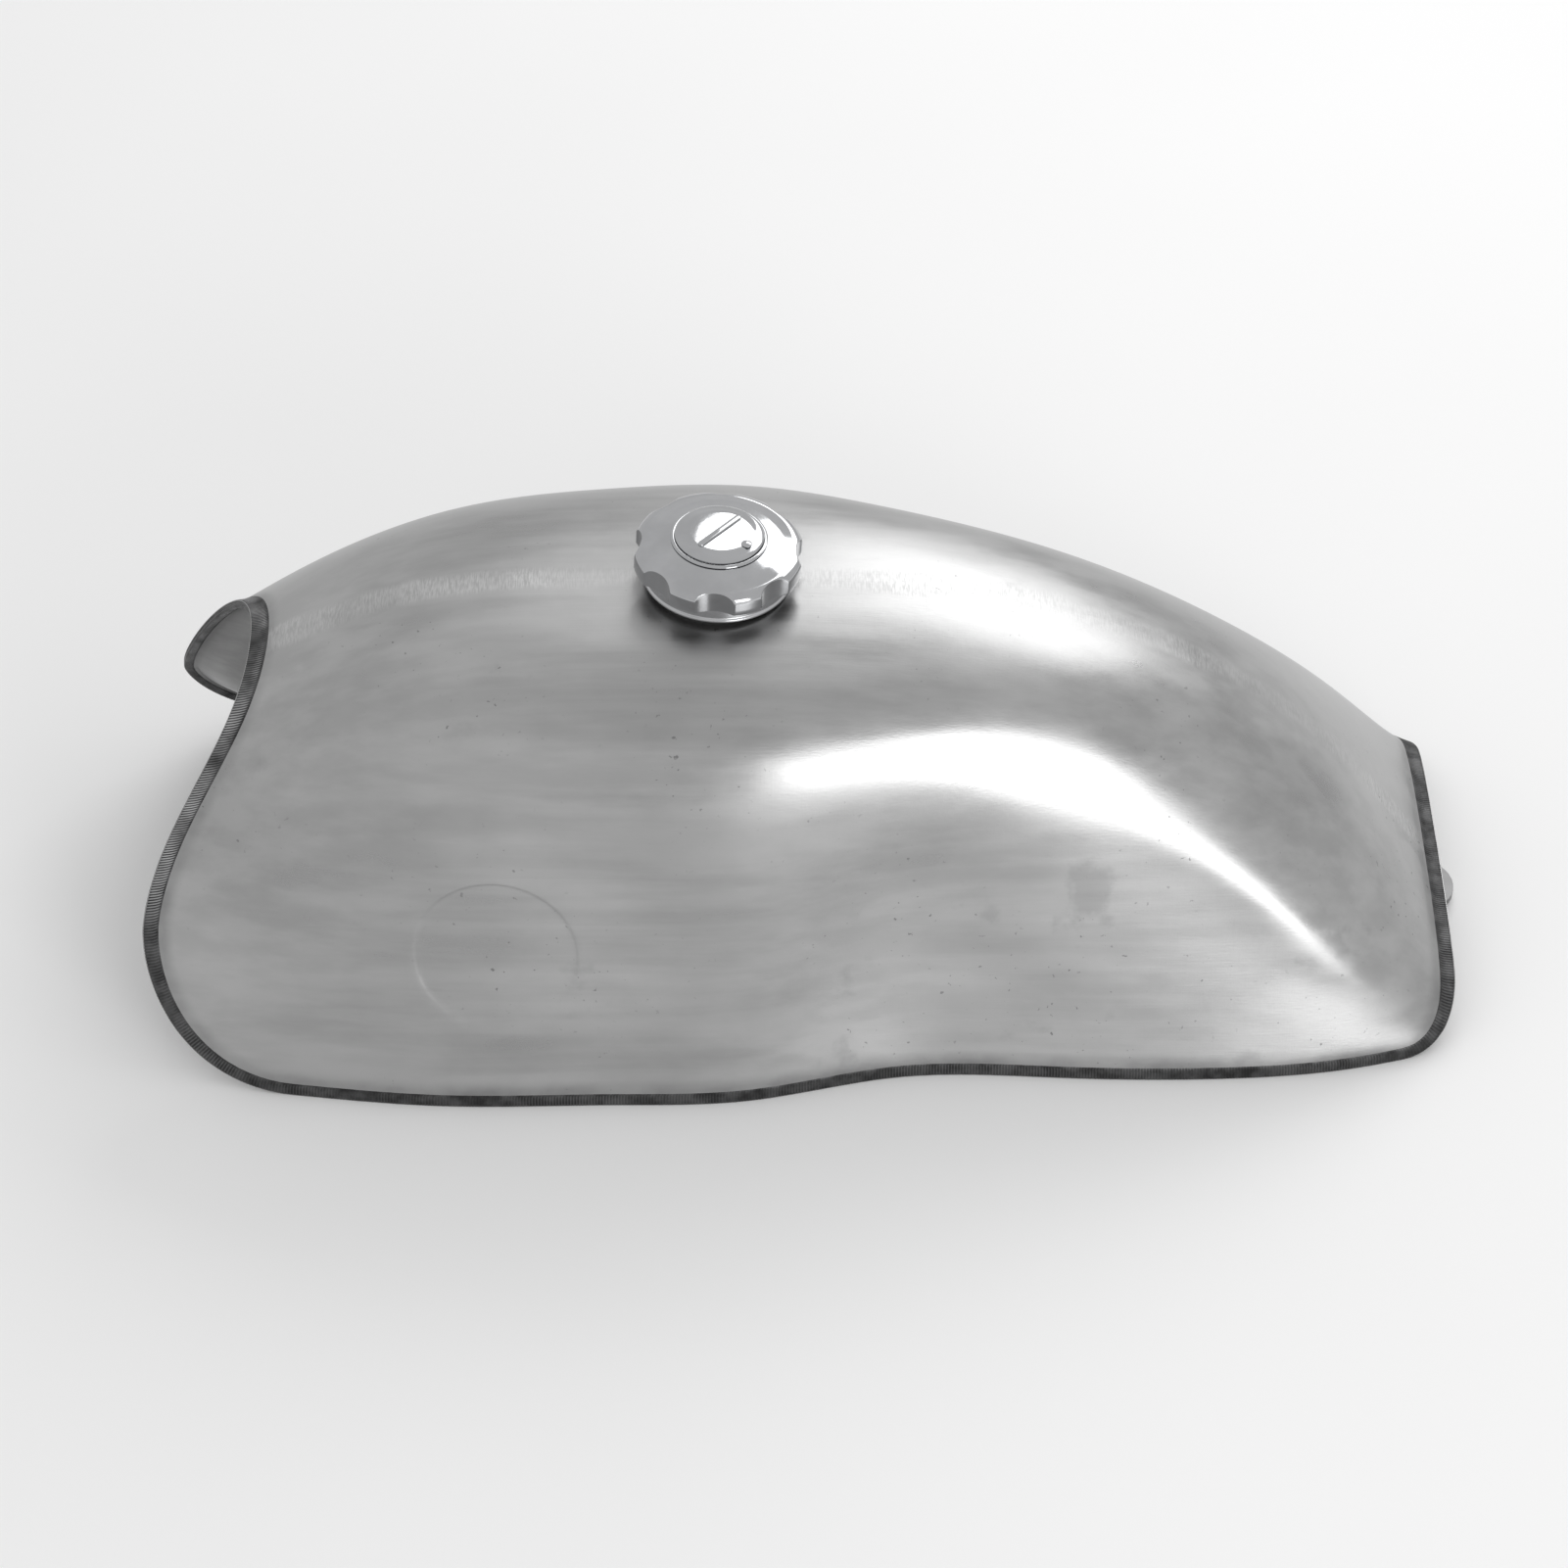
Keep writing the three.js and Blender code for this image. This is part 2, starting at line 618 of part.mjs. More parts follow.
// Bent plate: welded under the tunnel roof, stepping down to a flat tongue with a bolt hole.
function rearTongue() {
  const [[roofX, roofZ], [bendX, bendZ], [footX]] = TONGUE_ROOF;
  const eyeX = TONGUE_END_X - TONGUE_WIDTH / 2;
  const top = TONGUE_Z + TONGUE_THICK;
  const outline = new THREE.Shape();
  outline.moveTo(roofX, roofZ);
  outline.lineTo(bendX, bendZ);
  outline.lineTo(footX + 1, top);
  outline.lineTo(eyeX, top);
  outline.lineTo(eyeX, TONGUE_Z);
  outline.lineTo(footX - 1.5, TONGUE_Z);
  outline.lineTo(bendX - 2.5, bendZ - TONGUE_THICK + 0.3);
  outline.lineTo(roofX, roofZ - TONGUE_THICK);
  const plate = new THREE.ExtrudeGeometry(outline, { depth: TONGUE_WIDTH, bevelEnabled: false });
  plate.rotateX(Math.PI / 2);
  plate.translate(0, TONGUE_WIDTH / 2, 0);
  const eye = cylinder(TONGUE_WIDTH / 2, TONGUE_Z, top, eyeX, 0, 32);
  const hole = cylinder(TONGUE_HOLE_R, -1, 10, eyeX, 0, 20);
  return cut(join(plate, eye), hole);
}

function petcockBung() {
  const faceTop = BUNG_FACE_Z + BUNG_FACE;
  const bung = turned([
    [BUNG_BORE_R, BUNG_FACE_Z], [BUNG_FACE_R, BUNG_FACE_Z], [BUNG_FACE_R, faceTop],
    [BUNG_R, faceTop], [BUNG_R, BUNG_TOP], [BUNG_BORE_R, BUNG_TOP],
  ], 28);
  bung.translate(BUNG_X, BUNG_Y, 0);
  return bung;
}

addPiece(cap, 'filler_neck', fillerNeck(), bareSteel);
addPiece(tank, 'right_mount_cup', mountCup(1), seamSteel);
addPiece(tank, 'left_mount_cup', mountCup(-1), seamSteel);
addPiece(tank, 'rear_mount_tongue', rearTongue(), bareSteel);
addPiece(tank, 'petcock_bung', petcockBung(), bareSteel);

// ---------------------------------------------------------------- filler cap

// Moves each point in or out along its radius, or up, as a function of its angle.
function reshape(geometry, change) {
  const p = geometry.attributes.position;
  for (let k = 0; k < p.count; k++) {
    const r = Math.hypot(p.getX(k), p.getY(k));
    const angle = Math.atan2(p.getY(k), p.getX(k));
    const [newR, newZ] = change(r, angle, p.getZ(k));
    p.setXYZ(k, newR * Math.cos(angle), newR * Math.sin(angle), newZ);
  }
  return facingOut(geometry);
}

// Depth of the finger scallops round the grip at one angle, 0 to 1.
function scallop(angle) {
  const pitch = 2 * Math.PI / SCALLOPS;
  const offset = THREE.MathUtils.euclideanModulo(angle - SCALLOP_START + pitch / 2, pitch) - pitch / 2;
  const share = Math.abs(offset) / SCALLOP_HALF_ANGLE;
  return share < 1 ? 0.5 * (1 + Math.cos(Math.PI * share)) : 0;
}

// A turned body with the finger scallops bitten out of its rim, set in by the grip's wall if it is the hollow.
function scalloped(profile, inset) {
  return reshape(turned(profile, 8 * SCALLOPS), (r, angle, z) => {
    const limit = GRIP_R - inset - SCALLOP_DEPTH * scallop(angle);
    return [Math.min(r, limit), z];
  });
}

// Domed grip, open below, with a round opening for the bezel.
function capGrip() {
  const body = scalloped([
    [0, DOME_TOP], [18, DOME_TOP], [24, DOME_TOP - 1.1], [28.5, DOME_TOP - 2.5], [31, DOME_TOP - 4],
    [32.2, DOME_TOP - 5], [GRIP_R, DOME_TOP - 6], [GRIP_R, GRIP_BOTTOM], [0, GRIP_BOTTOM],
  ], 0);
  const hollow = scalloped([
    [0, DOME_TOP - 1.7], [17, DOME_TOP - 1.7], [23.5, DOME_TOP - 2.9], [27.5, DOME_TOP - 4.2],
    [30, DOME_TOP - 5.6], [GRIP_HOLLOW_R, DOME_TOP - 6.4], [GRIP_HOLLOW_R, GRIP_BOTTOM - 1], [0, GRIP_BOTTOM - 1],
  ], GRIP_WALL);
  return cut(body, hollow, cylinder(BEZEL_R + GAP, GRIP_BOTTOM, DOME_TOP + 1, 0, 0, 48));
}

function capSkirt() {
  const inner = SKIRT_R - SKIRT_WALL;
  const ceiling = SKIRT_TOP - SKIRT_WALL;
  return turned([
    [SKIRT_R + 0.6, SKIRT_BOTTOM], [SKIRT_R + 0.6, SKIRT_BOTTOM + 0.8], [SKIRT_R, SKIRT_BOTTOM + 1.2],
    [SKIRT_R, SKIRT_TOP - 1], [SKIRT_R - 1, SKIRT_TOP], [HOUSING_R + 0.4, SKIRT_TOP],
    [HOUSING_R + 0.4, ceiling], [inner, ceiling], [inner, SKIRT_BOTTOM],
  ], 48);
}

function capBezel() {
  const lip = DOME_TOP + GAP;
  return turned([
    [15.8, 14], [BEZEL_R, 14], [BEZEL_R, lip], [18.4, lip], [18.2, lip + 0.5], [15.8, lip + 0.5],
  ], 48);
}

// Swinging key cover: a shallow dished disc with a finger rib and a hole for its rivet.
function keyCover() {
  const disc = turned([
    [0, COVER_TOP], [13.4, COVER_TOP - 0.2], [15.4, COVER_TOP - 0.7], [COVER_R - 0.2, COVER_BOTTOM + 0.9],
    [COVER_R, COVER_BOTTOM], [COVER_R - 0.9, COVER_BOTTOM], [14.8, COVER_TOP - 1.5],
    [13.2, COVER_TOP - 1.1], [0, COVER_TOP - 0.9],
  ], 40);
  const [ribX, ribR] = [10.4, 1.4];
  const rib = box(-ribX, ribX, -ribR, ribR, COVER_TOP - 0.5, COVER_TOP + 0.8);
  const ends = [-ribX, ribX].map((x) => cylinder(ribR, COVER_TOP - 0.5, COVER_TOP + 0.8, x, 0, 12));
  const bar = join(rib, ...ends);
  bar.rotateZ(RIB_ANGLE);
  const [x, y] = polar(RIVET_CIRCLE, RIVET_ANGLE);
  const boss = cylinder(2.6, COVER_BOTTOM + 0.1, COVER_TOP - 0.5, x, y, 16);
  return cut(join(disc, bar, boss), cylinder(1.5, 10, 30, x, y, 14));
}

function atRivet(profile, segments = 16) {
  const geometry = turned(profile, segments);
  const [x, y] = polar(RIVET_CIRCLE, RIVET_ANGLE);
  geometry.translate(x, y, 0);
  return geometry;
}

function coverRivet() {
  const head = COVER_TOP + 0.1;
  return atRivet([
    [0, 15.2], [1.2, 15.2], [1.2, HOUSING_TOP + GAP], [2.4, HOUSING_TOP + GAP], [2.4, 18.8],
    [1.2, 18.8], [1.2, head], [2.1, head], [1.8, head + 0.6], [0, head + 0.7],
  ]);
}

function coverSpring() {
  return atRivet([[1.5, 19.8], [3, 19.1], [3, 19.5], [1.5, 20.2]]);
}

const screwPlaces = CAP_SCREW_ANGLES.map((angle) => polar(CAP_SCREW_CIRCLE, THREE.MathUtils.degToRad(angle)));

function lockHousing() {
  const bore = BARREL_R + GAP;
  const body = turned([
    [bore, PLATE_TOP + GAP], [HOUSING_R, PLATE_TOP + GAP], [HOUSING_R, 15], [HOUSING_FLANGE_R, 15],
    [HOUSING_FLANGE_R, HOUSING_TOP], [bore, HOUSING_TOP],
  ], 36);
  const slotTop = BOLT_TOP + GAP;
  const pocket = box(-5.4, 6.4, -5.9, 5.9, -3, slotTop);
  const slot = box(0, HOUSING_R + 1, -BOLT_WIDTH / 2 - 0.4, BOLT_WIDTH / 2 + 0.4, -3, slotTop);
  const holes = screwPlaces.map(([x, y]) => cylinder(CAP_SCREW_HOLE_R, -3, 8, x, y, 12));
  const [x, y] = polar(RIVET_CIRCLE, RIVET_ANGLE);
  return cut(body, pocket, slot, ...holes, cylinder(1.5, 14, 18, x, y, 12));
}

function lockBarrel() {
  const plug = turned([
    [0, CAM_TOP + GAP], [BARREL_R, CAM_TOP + GAP], [BARREL_R, BARREL_TOP - 0.4],
    [BARREL_R - 0.4, BARREL_TOP], [0, BARREL_TOP],
  ], 28);
  const keyway = box(-4, 4, -0.9, 0.9, BARREL_TOP - KEYWAY_DEPTH, BARREL_TOP + 1);
  return cut(plug, keyway);
}

function lockCrank() {
  const [x, y] = polar(CRANK_R, CRANK_ANGLE);
  const cam = cylinder(BARREL_R - 0.4, CAM_BOTTOM, CAM_TOP);
  const pin = cylinder(1.2, BOLT_BOTTOM + 0.1, CAM_TOP - 0.2, x, y, 16);
  return join(cam, pin);
}

function lockBolt() {
  const head = box(-5, 1.2, -5.5, 5.5, BOLT_BOTTOM, BOLT_TOP);
  const tongue = box(0, BOLT_REACH, -BOLT_WIDTH / 2, BOLT_WIDTH / 2, BOLT_BOTTOM, BOLT_TOP);
  const [pinX] = polar(CRANK_R, CRANK_ANGLE);
  const slot = box(pinX - 1.5, pinX + 1.5, 0.5, 4.4, BOLT_BOTTOM - 1, BOLT_TOP + 1);
  return cut(join(head, tongue), slot);
}

function latchPlate() {
  const wings = common(
    box(-WING_WIDTH / 2, WING_WIDTH / 2, -WING_R - 1, WING_R + 1, PLATE_BOTTOM, PLATE_TOP),
    cylinder(WING_R, PLATE_BOTTOM - 1, PLATE_TOP + 1, 0, 0, 48),
  );
  const plate = join(cylinder(12, PLATE_BOTTOM, PLATE_TOP, 0, 0, 36), wings);
  return cut(plate, ...screwPlaces.map(([x, y]) => cylinder(CAP_SCREW_HOLE_R, -6, 2, x, y, 12)));
}

function capScrew([x, y]) {
  const head = PLATE_BOTTOM - GAP;
  const screw = turned([[0, head - 1.2], [2.2, head - 1.2], [2.5, head - 0.8], [2.5, head], [1.3, head],
    [1.3, 5], [0, 5]], 16);
  screw.translate(x, y, 0);
  return screw;
}

function gasket() {
  const bottom = LIP_TOP + GAP;
  const top = bottom + GASKET_THICK;
  return turned([[21, bottom], [27, bottom], [27, top], [21, top]], 40);
}

function gasketCarrier() {
  const bore = HOUSING_R + 0.4;
  const edge = 26.9;
  return turned([[bore, CARRIER_BOTTOM], [edge, CARRIER_BOTTOM], [edge, CARRIER_TOP], [bore, CARRIER_TOP]], 40);
}

// Wave spring that presses the gasket down when the wings are under the lip.
function waveSpring() {
  const middle = 0.5 * (CARRIER_TOP + SKIRT_TOP - SKIRT_WALL);
  const ring = turned([[17, middle - 0.3], [23, middle - 0.3], [23, middle + 0.3], [17, middle + 0.3]], 48);
  return reshape(ring, (r, angle, z) => [r, z + 0.6 * Math.cos(3 * angle)]);
}

addPiece(cap, 'gasket_carrier', gasketCarrier(), zincPlate);
addPiece(cap, 'cap_gasket', gasket(), blackRubber);
addPiece(cap, 'cap_grip', capGrip(), chrome);
addPiece(cap, 'cap_skirt', capSkirt(), chrome);
addPiece(cap, 'cap_bezel', capBezel(), chrome);
addPiece(cap, 'wave_spring', waveSpring(), springSteel);
addPiece(cap, 'lock_housing', lockHousing(), castZinc);
addPiece(cap, 'latch_plate', latchPlate(), zincPlate);
screwPlaces.forEach((place, k) => addPiece(cap, `cap_screw_${k + 1}`, capScrew(place), zincPlate));
addPiece(cap, 'cover_rivet', coverRivet(), chrome);
addPiece(cap, 'cover_spring', coverSpring(), springSteel);
addPiece(cap, 'key_cover', keyCover(), chrome);
addPiece(cap, 'lock_barrel', lockBarrel(), brass);
addPiece(cap, 'lock_crank', lockCrank(), zincPlate);
addPiece(cap, 'lock_bolt', lockBolt(), zincPlate);

export default tank;
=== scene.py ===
# Looks of a bare-steel motorcycle fuel tank with a chrome filler cap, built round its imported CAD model.
# The shapes are worked out in millimetres and made in metres: +Z up, -X the steering-head end,
# Y = 0 the plane of symmetry, Z = 0 the bench.

import math

import bmesh
import bpy
import numpy as np
from mathutils import Matrix, Vector


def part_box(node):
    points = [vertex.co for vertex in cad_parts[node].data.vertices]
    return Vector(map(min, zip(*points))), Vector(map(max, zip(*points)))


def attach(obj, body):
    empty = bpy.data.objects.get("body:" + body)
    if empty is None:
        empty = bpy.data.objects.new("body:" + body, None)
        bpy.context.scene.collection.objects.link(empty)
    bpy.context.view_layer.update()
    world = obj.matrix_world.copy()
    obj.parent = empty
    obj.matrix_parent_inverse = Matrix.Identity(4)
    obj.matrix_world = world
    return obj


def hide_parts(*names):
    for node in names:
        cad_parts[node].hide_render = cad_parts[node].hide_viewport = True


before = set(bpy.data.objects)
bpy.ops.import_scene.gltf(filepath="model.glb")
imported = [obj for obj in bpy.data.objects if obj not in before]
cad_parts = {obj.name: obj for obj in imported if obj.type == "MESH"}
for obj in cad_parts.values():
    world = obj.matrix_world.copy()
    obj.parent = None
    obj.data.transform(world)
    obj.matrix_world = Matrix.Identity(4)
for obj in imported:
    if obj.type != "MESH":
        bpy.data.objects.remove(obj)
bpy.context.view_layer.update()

MM = 0.001

# ---------------------------------------------------------------- driving dimensions (mm)

SHEET = 1.2
RIM_GAP = 0.4                   # between the sheets of the flange
FLANGE = 6.0
RIM_Z = 6.0
FLANGE_DROOP = 0.12             # least fall of the flange per mm of its reach

# Ribs of the outer skin: station x and the poles (y, z) of a cubic B-spline from crown to rim.
SKIN_RIBS = [
    (-250, [(0, 113), (22, 113), (48, 104), (68, 76), (86, 50), (98, 24), (106, RIM_Z)]),
    (-200, [(0, 143), (30, 143), (62, 131), (81, 96), (95, 62), (106, 30), (112.5, RIM_Z)]),
    (-145, [(0, 164), (42, 164), (75, 147), (90, 108), (101, 68), (111, 34), (118, RIM_Z)]),
    (-80, [(0, 169), (52, 169), (83, 151), (94, 112), (102, 69), (111, 34), (117.5, RIM_Z)]),
    (-25, [(0, 169), (54, 169), (84, 151), (94, 113), (101, 70), (107, 36), (115, RIM_Z)]),
    (30, [(0, 166.5), (50, 166.5), (74, 142), (81, 117), (83, 87), (90, 43), (103, RIM_Z)]),
    (95, [(0, 153), (43, 153), (63, 126), (74, 103), (79.4, 77), (90.8, 39.5), (103, RIM_Z)]),
    (160, [(0, 121), (33, 121), (71, 91), (77, 73), (83.5, 54.5), (93.3, 30.8), (103.5, RIM_Z)]),
    (215, [(0, 70), (30, 70), (66, 55), (84, 35), (86, 27), (92, 16.5), (97, RIM_Z)]),
    (250, [(0, 20), (35, 20), (60, 18), (72, 15), (79, 11), (84, 8), (87, RIM_Z)]),
]
FRONT_TIP = (-254.0, 57.0)      # foremost point of the bend line (x, z)
FRONT_CORNER_R = 51.0
FRONT_ARCH = (-210.0, 140.0)
FRONT_ARCH_POWER = 1.5
REAR_X = 246.0
REAR_CORNER_R = 16.0
BEND = 3.0                      # reach of the fillet on each side of the bend line

# Tunnel over the frame's backbone tube: station x, half width, height of the roof.
TUNNEL = [
    (-250, 50, 138), (-200, 46, 118), (-140, 41, 84), (-60, 36, 70),
    (60, 34, 60), (160, 34, 40), (250, 36, 17),
]
FLOOR_Z = 9.0
FRONT_BLEND = 0.34              # share of the pan's length that bends to meet the front arch
REAR_BLEND = 0.14
EDGE_BLEND = 0.2                # share of the pan's half width that bends to meet the side

RECESS_AT = (-122.0, 98.0, 66.0)
RECESS_R = 31.5
RECESS_DEPTH = 0.5
RECESS_EDGE = 1.3
RECESS_FOCUS = 9.0              # grid points within this distance of the edge are drawn to it
RECESS_FOCUS_POWER = 1.9

WELD_PITCH = 1.15               # ripples of the roller seam welder along the flange
WELD_RIPPLE = 0.24
WELD_SAMPLES = 5                # rows of points for each ripple
WELD_UNDER = 1.5                # below the flange the track begins this far from the bend line
WELD_COVER = 0.18               # thickness of the track over the free edges of the sheets

CAP_AT = Vector((-38.0, 0.0, 169.0))
CAP_LEAN = math.radians(3)
FILLER_HOLE_R = 25.5
BUNG_HOLE_R = 11.3


# ---------------------------------------------------------------- meshes

def new_piece(name, points, faces, body, material):
    """A mesh piece from points in mm, riding on a body."""
    mesh = bpy.data.meshes.new(name)
    mesh.from_pydata([tuple(p) for p in np.asarray(points, float) * MM], [], faces)
    mesh.validate()
    piece = bpy.data.objects.new(name, mesh)
    bpy.context.scene.collection.objects.link(piece)
    mesh.shade_smooth()
    outward(mesh)
    mesh.materials.append(material)
    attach(piece, body)
    return piece


def outward(mesh):
    """Welds shared corners and turns all faces out."""
    shape = bmesh.new()
    shape.from_mesh(mesh)
    bmesh.ops.remove_doubles(shape, verts=shape.verts, dist=1e-6)
    bmesh.ops.dissolve_degenerate(shape, edges=shape.edges, dist=1e-7)
    bmesh.ops.recalc_face_normals(shape, faces=shape.faces)
    shape.to_mesh(mesh)
    shape.free()


def sharpen(piece, degrees):
    """Keeps edges sharper than this angle crisp under smooth shading."""
    piece.data.set_sharp_from_angle(angle=math.radians(degrees))


def quads(index):
    """Faces of a grid of vertex numbers."""
    a = index[:-1, :-1].ravel()
    b = index[1:, :-1].ravel()
    c = index[1:, 1:].ravel()
    d = index[:-1, 1:].ravel()
    return np.stack([a, b, c, d], 1).tolist()


def lathe(profile, segments=192, change=None):
    """A closed ring turned about Z, or a disc if the profile starts and ends on the axis.

    change may vary the radius and height of a ring of points with its angles."""
    angles = np.arange(segments) * 2 * math.pi / segments
    profile = np.array(profile, float)
    closed = profile[0][0] > 0
    rings = []
    for r, z in profile:
        radius = np.full(segments, r)
        height = np.full(segments, z)
        if change:
            radius, height = change(radius, angles, height)
        rings.append(np.stack([radius * np.cos(angles), radius * np.sin(angles), height], 1))
    grid = np.array(rings)
    count = len(profile)
    index = np.arange(count * segments).reshape(count, segments)
    index = np.hstack([index, index[:, :1]])
    if closed:
        index = np.vstack([index, index[:1]])
    return grid.reshape(-1, 3), quads(index)


def rounded(profile, radius, steps=4):
    """Rounds the corners of a profile of (r, z) points; the ends of one that starts on the axis stay."""
    points = [np.array(p, float) for p in profile]
    last = len(points) - 1
    is_open = points[0][0] == 0
    result = []
    for i, point in enumerate(points):
        if is_open and i in (0, last):
            result.append(point)
            continue
        before = points[i - 1] - point
        after = points[(i + 1) % len(points)] - point
        reach = min(radius, 0.45 * np.linalg.norm(before), 0.45 * np.linalg.norm(after))
        start = point + before / np.linalg.norm(before) * reach
        end = point + after / np.linalg.norm(after) * reach
        for step in range(steps + 1):
            s = step / steps
            result.append((1 - s) ** 2 * start + 2 * s * (1 - s) * point + s * s * end)
    return result


def placed(points, at=CAP_AT, lean=CAP_LEAN):
    """Moves cap points from the cap's own axes to the frame."""
    turn = np.array(Matrix.Rotation(lean, 3, "Y"))
    return np.asarray(points) @ turn.T + np.array(at)


def cut_hole(piece, radius, at, lean):
    """Cuts a round hole through a sheet, along an axis that leans from the vertical."""
    reach = 30.0
    profile = [(0, -reach), (radius, -reach), (radius, reach), (0, reach)]
    points, faces = lathe(profile, 128)
    mesh = bpy.data.meshes.new("cutter")
    mesh.from_pydata([tuple(p) for p in placed(points, at, lean) * MM], [], faces)
    outward(mesh)
    cutter = bpy.data.objects.new("cutter", mesh)
    bpy.context.scene.collection.objects.link(cutter)
    modifier = piece.modifiers.new("hole", "BOOLEAN")
    modifier.operation = "DIFFERENCE"
    modifier.object = cutter
    modifier.solver = "MANIFOLD"
    evaluated = piece.evaluated_get(bpy.context.evaluated_depsgraph_get())
    holed = bpy.data.meshes.new_from_object(evaluated)
    # the cutter adds an empty material slot that no face uses
    holed.materials.pop()
    piece.modifiers.clear()
    piece.data = holed
    bpy.data.objects.remove(cutter)


# ---------------------------------------------------------------- smooth skin through the ribs

def natural_spline(stations, rows):
    """Natural cubic spline through rows of numbers; returns a function of an array of x."""
    xs = np.array(stations, float)
    ys = np.array(rows, float).reshape(len(xs), -1)
    gap = np.diff(xs)
    n = len(xs)
    matrix = np.eye(n)
    right = np.zeros_like(ys)
    for i in range(1, n - 1):
        matrix[i, i - 1:i + 2] = gap[i - 1], 2 * (gap[i - 1] + gap[i]), gap[i]
        right[i] = 6 * ((ys[i + 1] - ys[i]) / gap[i] - (ys[i] - ys[i - 1]) / gap[i - 1])
    bend = np.linalg.solve(matrix, right)

    def value(x):
        x = np.asarray(x, float)
        i = np.clip(np.searchsorted(xs, x) - 1, 0, n - 2)
        h = gap[i]
        a = (xs[i + 1] - x) / h
        b = 1 - a
        a, b, h = a[..., None], b[..., None], h[..., None]
        curve = ((a ** 3 - a) * bend[i] + (b ** 3 - b) * bend[i + 1]) * h * h / 6
        return a * ys[i] + b * ys[i + 1] + curve

    return value


KNOTS = np.array([0, 0, 0, 0, 0.25, 0.5, 0.75, 1, 1, 1, 1])
POLES = 7
SLOPE_STEP_X = 0.5              # steps over which slopes of the skin are taken
SLOPE_STEP_T = 1e-3


def pole_weights(t):
    """Clamped cubic B-spline weights of seven poles; t is an array."""
    s = np.clip(t, 0, 1 - 1e-9)
    spans = zip(KNOTS[:-1], KNOTS[1:])
    weights = [((knot <= s) & (s < after)).astype(float) for knot, after in spans]
    for degree in (1, 2, 3):
        raised = []
        for i in range(len(weights) - 1):
            rise = KNOTS[i + degree] - KNOTS[i]
            fall = KNOTS[i + degree + 1] - KNOTS[i + 1]
            value = np.zeros_like(s)
            if rise > 0:
                value = value + (s - KNOTS[i]) / rise * weights[i]
            if fall > 0:
                value = value + (KNOTS[i + degree + 1] - s) / fall * weights[i + 1]
            raised.append(value)
        weights = raised
    return np.stack(weights, -1)


skin_poles = natural_spline([rib[0] for rib in SKIN_RIBS], [rib[1] for rib in SKIN_RIBS])
tunnel_size = natural_spline([row[0] for row in TUNNEL], [row[1:] for row in TUNNEL])


def section_point(x, poles, t):
    """Points at t (0 on the middle line, 1 on the rim) of the sections at x with these poles."""
    weights = pole_weights(t)[..., None]
    yz = (weights * poles).sum(-2)
    return np.stack([x, yz[..., 0], yz[..., 1]], -1)


def skin_at(x, t):
    """Points of the right half of the outer skin."""
    x, t = np.broadcast_arrays(np.asarray(x, float), np.asarray(t, float))
    poles = skin_poles(x).reshape(x.shape + (POLES, 2))
    return section_point(x, poles, t)


def skin_slopes(x, t):
    """How the skin moves with x and with t."""
    along_x = (skin_at(x + SLOPE_STEP_X, t) - skin_at(x - SLOPE_STEP_X, t)) / (2 * SLOPE_STEP_X)
    low, high = np.maximum(t - SLOPE_STEP_T, 0), np.minimum(t + SLOPE_STEP_T, 1)
    along_t = (skin_at(x, high) - skin_at(x, low)) / (high - low)[..., None]
    return along_x, along_t


def skin_normal(x, t):
    return unit(np.cross(*skin_slopes(x, t)))


def unit(vectors):
    return vectors / np.linalg.norm(vectors, axis=-1, keepdims=True)


def t_at_height(x, z):
    """Where the section at x comes down to height z."""
    low = np.zeros_like(x)
    high = np.ones_like(x)
    for _ in range(40):
        middle = (low + high) / 2
        above = skin_at(x, middle)[..., 2] > z
        low = np.where(above, middle, low)
        high = np.where(above, high, middle)
    return (low + high) / 2


# ---------------------------------------------------------------- outline of the skin

def front_x(z, inset):
    """The front arch seen from the side, above its foremost point."""
    rise = np.clip((z - FRONT_TIP[1]) / (FRONT_ARCH[1] - FRONT_TIP[1]), 0, 1.2)
    reach = FRONT_ARCH[0] - FRONT_TIP[0]
    slope = reach * FRONT_ARCH_POWER * np.sqrt(rise) / (FRONT_ARCH[1] - FRONT_TIP[1])
    return FRONT_TIP[0] + reach * rise ** FRONT_ARCH_POWER + inset * np.sqrt(1 + slope ** 2)


def corner_arc(centre, radius, angles):
    """Points (x, z) of a lower corner by angle below the horizontal; a negative radius is the rear one."""
    return centre[0] - radius * np.cos(angles), centre[1] - abs(radius) * np.sin(angles)


def evenly(x, t, shares):
    """Resamples a line on the skin to these shares of its length."""
    points = skin_at(x, t)
    length = np.r_[0, np.cumsum(np.linalg.norm(np.diff(points, axis=0), axis=1))]
    at = np.asarray(shares) * length[-1]
    return np.interp(at, length, x), np.interp(at, length, t)


